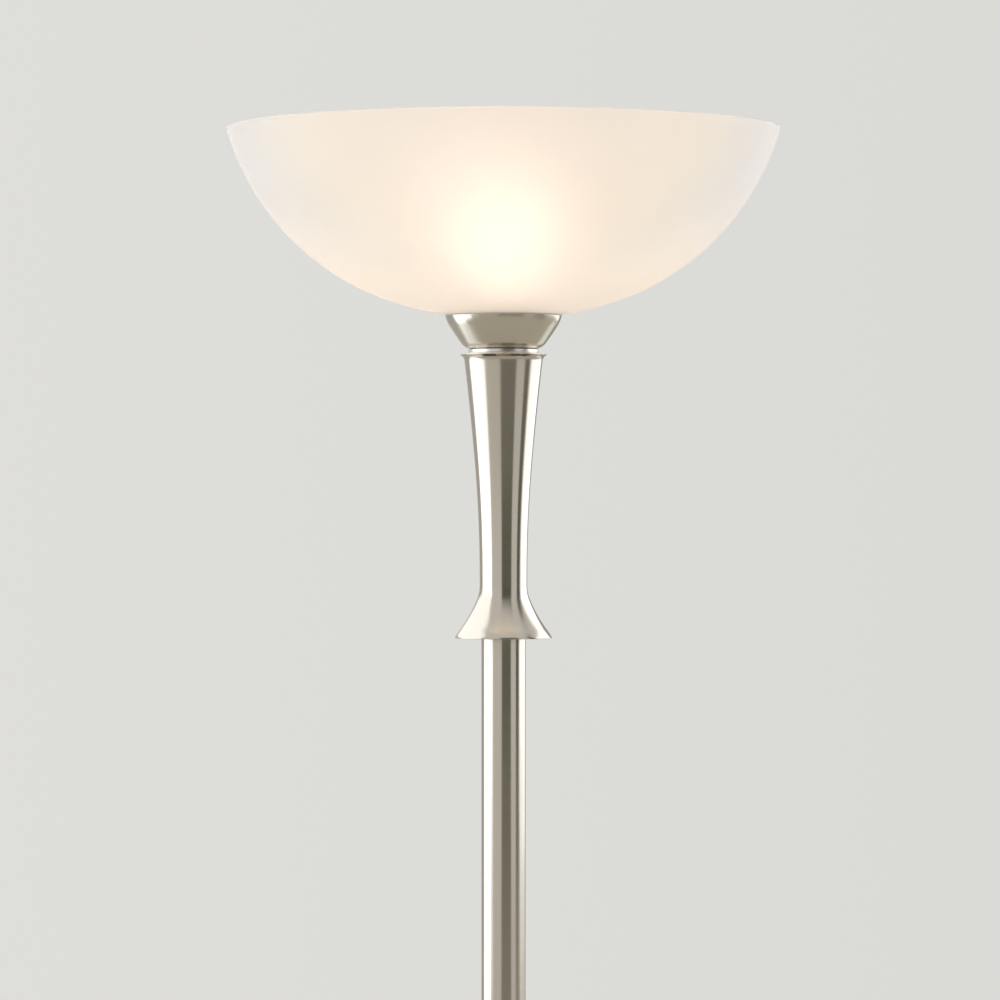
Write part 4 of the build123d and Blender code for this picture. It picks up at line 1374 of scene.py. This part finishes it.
@dataclass
class ColumnHead(Assembly):
    """The trumpet at the pole's top, the bright collar and the cup that carries the glass."""

    bottom: float = 1432.5
    height: float = 204.8
    pipe_hole: float = 4.9
    wall: float = 1.0
    waist: Point = (17.2, 42.8)
    taper: Point = (20.8, 126.8)
    throat: Point = (28.3, 200.2)
    flare: Point = (29.9, 203.2)
    lip: Point = (31.4, 204.4)
    waist_foot: Point = (17.2, 37.8)
    hip: Point = (19.1, 28.1)
    bell: Point = (31.8, 5.6)
    bell_turn: Point = (35.0, 0.7)
    bell_rim: float = 35.15
    collar_flange: Point = (27.5, 0.5)
    collar_neck: Point = (25.2, 1.3)
    cup_bottom: float = 1640.9
    cup_foot: float = 22.0
    cup_turn: Point = (30.8, 4.5)
    cup_flank: Point = (38.9, 16.4)
    cup_rim: Point = (42.15, 24.7)
    cup_wall: float = 1.2
    cup_bead: float = 0.6

    def build(self) -> None:
        """Build and dress the column head."""
        horn = [spun(self.trumpet(), 192, Side.RIGHT)]
        self.place("trumpet_horn", horn, NICKEL, "trumpet", wall=self.wall, edge=0.2)
        top = self.bottom + self.height
        hole, flange, neck = self.pipe_hole, self.collar_flange, self.collar_neck
        section = [(hole, 0), (flange[0], 0), flange, neck]
        section += [(neck[0], self.cup_bottom - top), (hole, self.cup_bottom - top)]
        collar = turned(section, 160, top)
        self.place("bright_collar", [collar], BRIGHT, "neck_collar", edge=0.2)
        roll, rim, height = self.cup_bead, *self.cup_rim
        cup = Outline(hole, 0, base=self.cup_bottom).line(self.cup_foot, 0)
        cup.arc(*self.cup_turn, 18).arc(*self.cup_flank, 20).arc(rim, height - roll, 16)
        edge = bead(rim - roll, self.cup_bottom + height - roll, roll)
        shells = [spun(cup, 192, Side.RIGHT), edge]
        self.place("glass_cup", shells, NICKEL, "fitter_cup", wall=self.cup_wall, edge=0.3)
        self.dress(STEEL, "head_pipe", "pipe_nuts", "pipe_washers")

    def trumpet(self) -> Outline:
        """Draw the trumpet from its waist up to the lip and down to the bell."""
        outline = Outline(*self.waist, 90, self.bottom)
        outline.arc(*self.taper, 24).arc(*self.throat, 24).arc(*self.flare, 10)
        outline.path(self.lip, (self.lip[0], self.height), (self.pipe_hole, self.height))
        outline.back(-90).line(*self.waist_foot).arc(*self.hip, 12).arc(*self.bell, 24)
        return outline.arc(*self.bell_turn, 8).line(self.bell_rim, 0)


@dataclass
class BowlAndLamp(Assembly):
    """The glass bowl, the pieces that clamp it, and the lamp that lights it."""

    glass: GlassForm = GlassForm(1662.58, 1, 258.65, 81.0, 200.0, 137.5, 4.0, 20.0, (16, 48), 240)
    clamp_radius: float = 27.0
    socket_bottom: float = 1650.0
    socket_radius: float = 19.5
    socket_height: float = 38.0
    socket_seat: Point = (4.9, 4.0)
    well: Point = (14.4, 9.0)
    bulb_base: float = 13.2
    bulb_neck: Point = (14.2, 6.0)
    bulb_waist: float = 22.1
    globe: float = 30.0
    globe_centre: float = 50.0

    def build(self) -> None:
        """Build and dress the bowl and its lamp."""
        bowl = [self.glass.form()]
        self.place("opal_bowl", bowl, LIT_OPAL, "glass_bowl", wall=self.glass.wall, edge=0.8)
        self.dress(RUBBER, "glass_gasket", "clamp_washer")
        heights = self.heights("clamp_ring")
        ring = sleeve(self.socket_radius + FIT, self.clamp_radius, *heights)
        self.place("socket_ring", [ring], STEEL, "clamp_ring", edge=0.6)
        top, radius = self.socket_height, self.socket_radius
        seat, well = self.socket_seat, self.well
        section = [(0, seat[1]), seat, (seat[0], 0), (radius, 0)]
        section += [(radius, top), (well[0], top), well, (0, well[1])]
        socket = turned(section, 120, self.socket_bottom)
        self.place("porcelain_socket", [socket], PORCELAIN, "main_socket", edge=0.9)
        self.place("main_bulb_globe", [self.bulb()], LIT_BULB, "main_bulb")
        self.dress(BRASS, "main_shell", "main_contact")
        self.dress(CAP_METAL, "main_bulb_cap")

    def bulb(self) -> Mesh:
        """Spin the main lamp's globe and its neck."""
        base, centre = self.socket_bottom + self.socket_height, self.globe_centre
        outline = Outline(0, 0, base=base).line(self.bulb_base, 0).line(*self.bulb_neck).face(90)
        outline.arc(self.bulb_waist, (self.bulb_neck[1] + centre) / 2, 12)
        outline.arc(self.globe, centre, 12).arc(0.0, centre + self.globe, 20)
        return spun(outline, 96)


# ------------------------------------------------------------------------------- studio


@dataclass(frozen=True)
class Card:
    """A curved card round the lamp, which only shows in polished faces.

    Its bearings are in degrees from the camera's side, positive to the right. Each of its two
    long edges is given as (distance from the pole, height), in metres.
    """

    name: str
    bearings: Point
    near: Point
    far: Point
    tone: Colour

    def build(self) -> None:
        """Spin the card's first edge round to its last."""
        start, end = (math.radians(bearing) for bearing in self.bearings)
        bm = bmesh.new()
        for reach, height in (self.near, self.far):
            bm.verts.new((reach * math.sin(start), -reach * math.cos(start), height))
        bm.edges.new(bm.verts)
        revolve(bm, 24, end - start)
        recipe = Recipe(self.name)
        black = {"Base Color": (0.0, 0.0, 0.0), "Specular IOR Level": 0.0, "Roughness": 1.0}
        recipe.set({**black, "Emission Color": self.tone, "Emission Strength": 1.0})
        card = object_of(self.name, bm, recipe.material)
        card.visible_camera = card.visible_diffuse = False
        card.visible_shadow = card.visible_transmission = False


@dataclass(frozen=True)
class Softbox:
    """A large soft light that faces the lamp, with its sizes in metres.

    Its level is how bright its face is, where 1 is white.
    """

    name: str
    bearing: float
    size: Point
    height: float
    level: float
    tint: Colour
    distance: float = 2.5

    def build(self) -> None:
        """Hang the light."""
        data = bpy.data.lights.new(self.name, "AREA")
        data.shape = "RECTANGLE"
        data.size, data.size_y = self.size
        data.color = self.tint
        data.energy = self.level * math.pi * self.size[0] * self.size[1]
        light = bpy.data.objects.new(self.name, data)
        turn = math.radians(self.bearing)
        across, along = self.distance * math.sin(turn), -self.distance * math.cos(turn)
        light.location = (across, along, self.height)
        light.rotation_euler = (math.pi / 2, 0.0, turn)
        light.visible_camera = False
        bpy.context.scene.collection.objects.link(light)


WALL = 2.4
SOFTBOXES = (
    Softbox("soft_left", -89.0, (3.0, 3.0), 1.7, 1.38, (1.0, 1.0, 1.04)),
    Softbox("soft_right", 119.0, (2.7, 2.2), 2.2, 1.12, (0.98, 1.0, 1.03)),
)
CARDS = (
    Card("dark_front", (-8.0, 38.5), (WALL, 1.17), (WALL, 4.0), (0.10, 0.10, 0.078)),
    Card("dusk_front", (-12.0, 40.0), (WALL, 1.10), (WALL, 1.17), (0.19, 0.18, 0.15)),
    Card("brown_front", (-12.0, 42.0), (WALL, 0.3), (WALL, 1.10), (0.29, 0.27, 0.225)),
    Card("dark_right", (68.0, 85.0), (WALL, 1.17), (WALL, 4.0), (0.07, 0.075, 0.06)),
    Card("dusk_right", (67.0, 97.0), (WALL, 1.10), (WALL, 1.17), (0.22, 0.21, 0.18)),
    Card("brown_right", (66.0, 97.0), (WALL, 0.3), (WALL, 1.10), (0.38, 0.34, 0.30)),
    Card("taupe_left", (-70.0, -54.0), (WALL, 0.3), (WALL, 1.15), (0.65, 0.62, 0.585)),
    Card("grey_left_back", (-160.0, -121.0), (WALL, 0.3), (WALL, 2.0), (0.45, 0.43, 0.40)),
    Card("grey_right_back", (152.0, 168.0), (WALL, 0.0), (WALL, 4.0), (0.3, 0.3, 0.28)),
    Card("bright_left_high", (-158.0, -64.0), (WALL, 2.0), (WALL, 5.2), (1.45, 1.45, 1.43)),
    # Painted pools of light on the floor, seen only in polished faces.
    Card("bright_floor_far", (-124.0, -92.0), (2.25, 0.006), (3.8, 0.006), (1.25, 1.22, 1.15)),
    Card("bright_floor_left", (-140.0, -100.0), (1.0, 0.004), (6.0, 0.004), (0.90, 0.88, 0.86)),
    Card("bright_floor_right", (131.0, 154.0), (2.3, 0.004), (5.5, 0.004), (0.87, 0.89, 0.79)),
)


@dataclass
class Studio:
    """A plain pale room: floor, soft lights, cards and the camera, with sizes in metres."""

    # The wall is painted a little darker towards the right: painted shade across the backdrop.
    wall_left: Colour = (0.738, 0.733, 0.708)
    wall_right: Colour = (0.700, 0.698, 0.678)
    wall_turn: float = 0.12
    fill: float = 0.55
    fill_tint: Colour = (1.0, 0.985, 0.96)
    reflected: Colour = (0.65, 0.62, 0.585)
    floor_radius: float = 8.0
    floor_dark: Colour = (0.66, 0.65, 0.63)
    floor_light: Colour = (0.7, 0.69, 0.67)
    floor_fade: Point = (0.8, 4.5)
    # Painted reflection: polished faces see the floor as a darker taupe, and as a near-black patch
    # of painted shade round and behind the lamp.
    painted_dark_back: float = 0.66
    painted_dark_edge: Point = (0.94, 1.06)
    painted_dark_patch: Colour = (0.02, 0.017, 0.011)
    reflected_floor: Colour = (0.47, 0.43, 0.35)
    reflected_from: Point = (0.2, 0.8)
    camera_place: tuple[float, float, float] = (-0.0025, -3.54, 1.5321)
    lens: float = 176.4

    def build(self) -> None:
        """Build the room."""
        self.world()
        self.floor()
        for thing in (*SOFTBOXES, *CARDS):
            thing.build()
        self.camera()

    def world(self) -> None:
        """Light the room from all round, with a pale wall wherever the camera or metal looks."""
        world = bpy.data.worlds.new("pale_room")
        bpy.context.scene.world = world
        world.use_nodes = True
        nodes = Nodes(world.node_tree)
        place = nodes.add("TexCoord").outputs["Generated"]
        across = nodes.add("SeparateXYZ", {0: place}).outputs["X"]
        turn = self.wall_turn
        # Painted shade: the wall darkens slightly from left to right.
        wall = nodes.between(across, self.wall_left, self.wall_right, -turn, turn)
        seen = nodes.add("Background", {"Color": wall}).outputs[0]
        mirrored = nodes.add("Background", {"Color": self.reflected}).outputs[0]
        filling = nodes.add("Background", {"Color": self.fill_tint, "Strength": self.fill})
        rays = nodes.add("LightPath").outputs
        shown = nodes.choose(rays["Is Glossy Ray"], filling.outputs[0], mirrored)
        for ray in ("Is Transmission Ray", "Is Camera Ray"):
            shown = nodes.choose(rays[ray], shown, seen)
        nodes.add("OutputWorld", {"Surface": shown})

    def floor(self) -> None:
        """Lay a pale floor that fades out into the wall. Polished faces see a painted reflection of
        it instead: a darker taupe floor with a painted dark patch round and behind the lamp.
        """
        bm = bmesh.new()
        bmesh.ops.create_circle(bm, cap_ends=True, segments=96, radius=self.floor_radius)
        recipe = Recipe("pale_floor")
        grain = recipe.noise(260.0, 3.0)
        tone = recipe.between(grain, self.floor_dark, self.floor_light)
        recipe.set({"Base Color": tone, "Roughness": 0.75, "Specular IOR Level": 0.0})
        reach = recipe.vector("LENGTH", recipe.place)
        fade = {"Value": reach, "From Min": self.floor_fade[0], "From Max": self.floor_fade[1]}
        share = recipe.add("MapRange", fade, interpolation_type="SMOOTHSTEP").outputs["Result"]
        clear = recipe.add("BsdfTransparent").outputs[0]
        shown = recipe.choose(share, recipe.surface.outputs[0], clear)
        # Painted reflection for polished faces: taupe floor, near black round and behind the lamp
        # as painted shade.
        aside = recipe.vector("DISTANCE", recipe.place, (0.0, self.painted_dark_back, 0.0))
        tone = recipe.between(aside, self.painted_dark_patch, self.reflected_floor, *self.painted_dark_edge)
        mirrored = recipe.add("Emission", {"Color": tone}).outputs[0]
        rays = recipe.add("LightPath").outputs
        afar = recipe.span(rays["Ray Length"], *self.reflected_from, 0.0, 1.0)
        glossy = recipe.compute("MULTIPLY", rays["Is Glossy Ray"], afar)
        recipe.fill(recipe.output.inputs["Surface"], recipe.choose(glossy, shown, mirrored))
        object_of("pale_floor", bm, recipe.material)

    def camera(self) -> None:
        """Set up the camera at the photograph's height, looking level along +Y."""
        data = bpy.data.cameras.new("camera")
        data.lens = self.lens
        data.sensor_width = 36.0
        data.clip_end = 60.0
        camera = bpy.data.objects.new("camera", data)
        camera.location = self.camera_place
        camera.rotation_euler = (math.pi / 2, 0.0, 0.0)
        bpy.context.scene.collection.objects.link(camera)
        bpy.context.scene.camera = camera


ASSEMBLIES = (
    Foot,
    Pole,
    Dimmer,
    DimmerKnob,
    ArmHub,
    ReadingArm,
    ThumbNut,
    ReadingHead,
    SwitchKnob,
    ColumnHead,
    BowlAndLamp,
)


def main() -> None:
    """Load the frame, build every sub-assembly in order and log its pieces."""
    logging.basicConfig(level=logging.INFO, format="%(name)s: %(message)s")
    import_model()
    bpy.context.scene.view_settings.view_transform = "Standard"
    for kind in ASSEMBLIES:
        assembly = kind()
        assembly.build()
        log.info("%s: %s", kind.__name__, ", ".join(assembly.pieces))
    Studio().build()


if __name__ == "__main__":
    main()
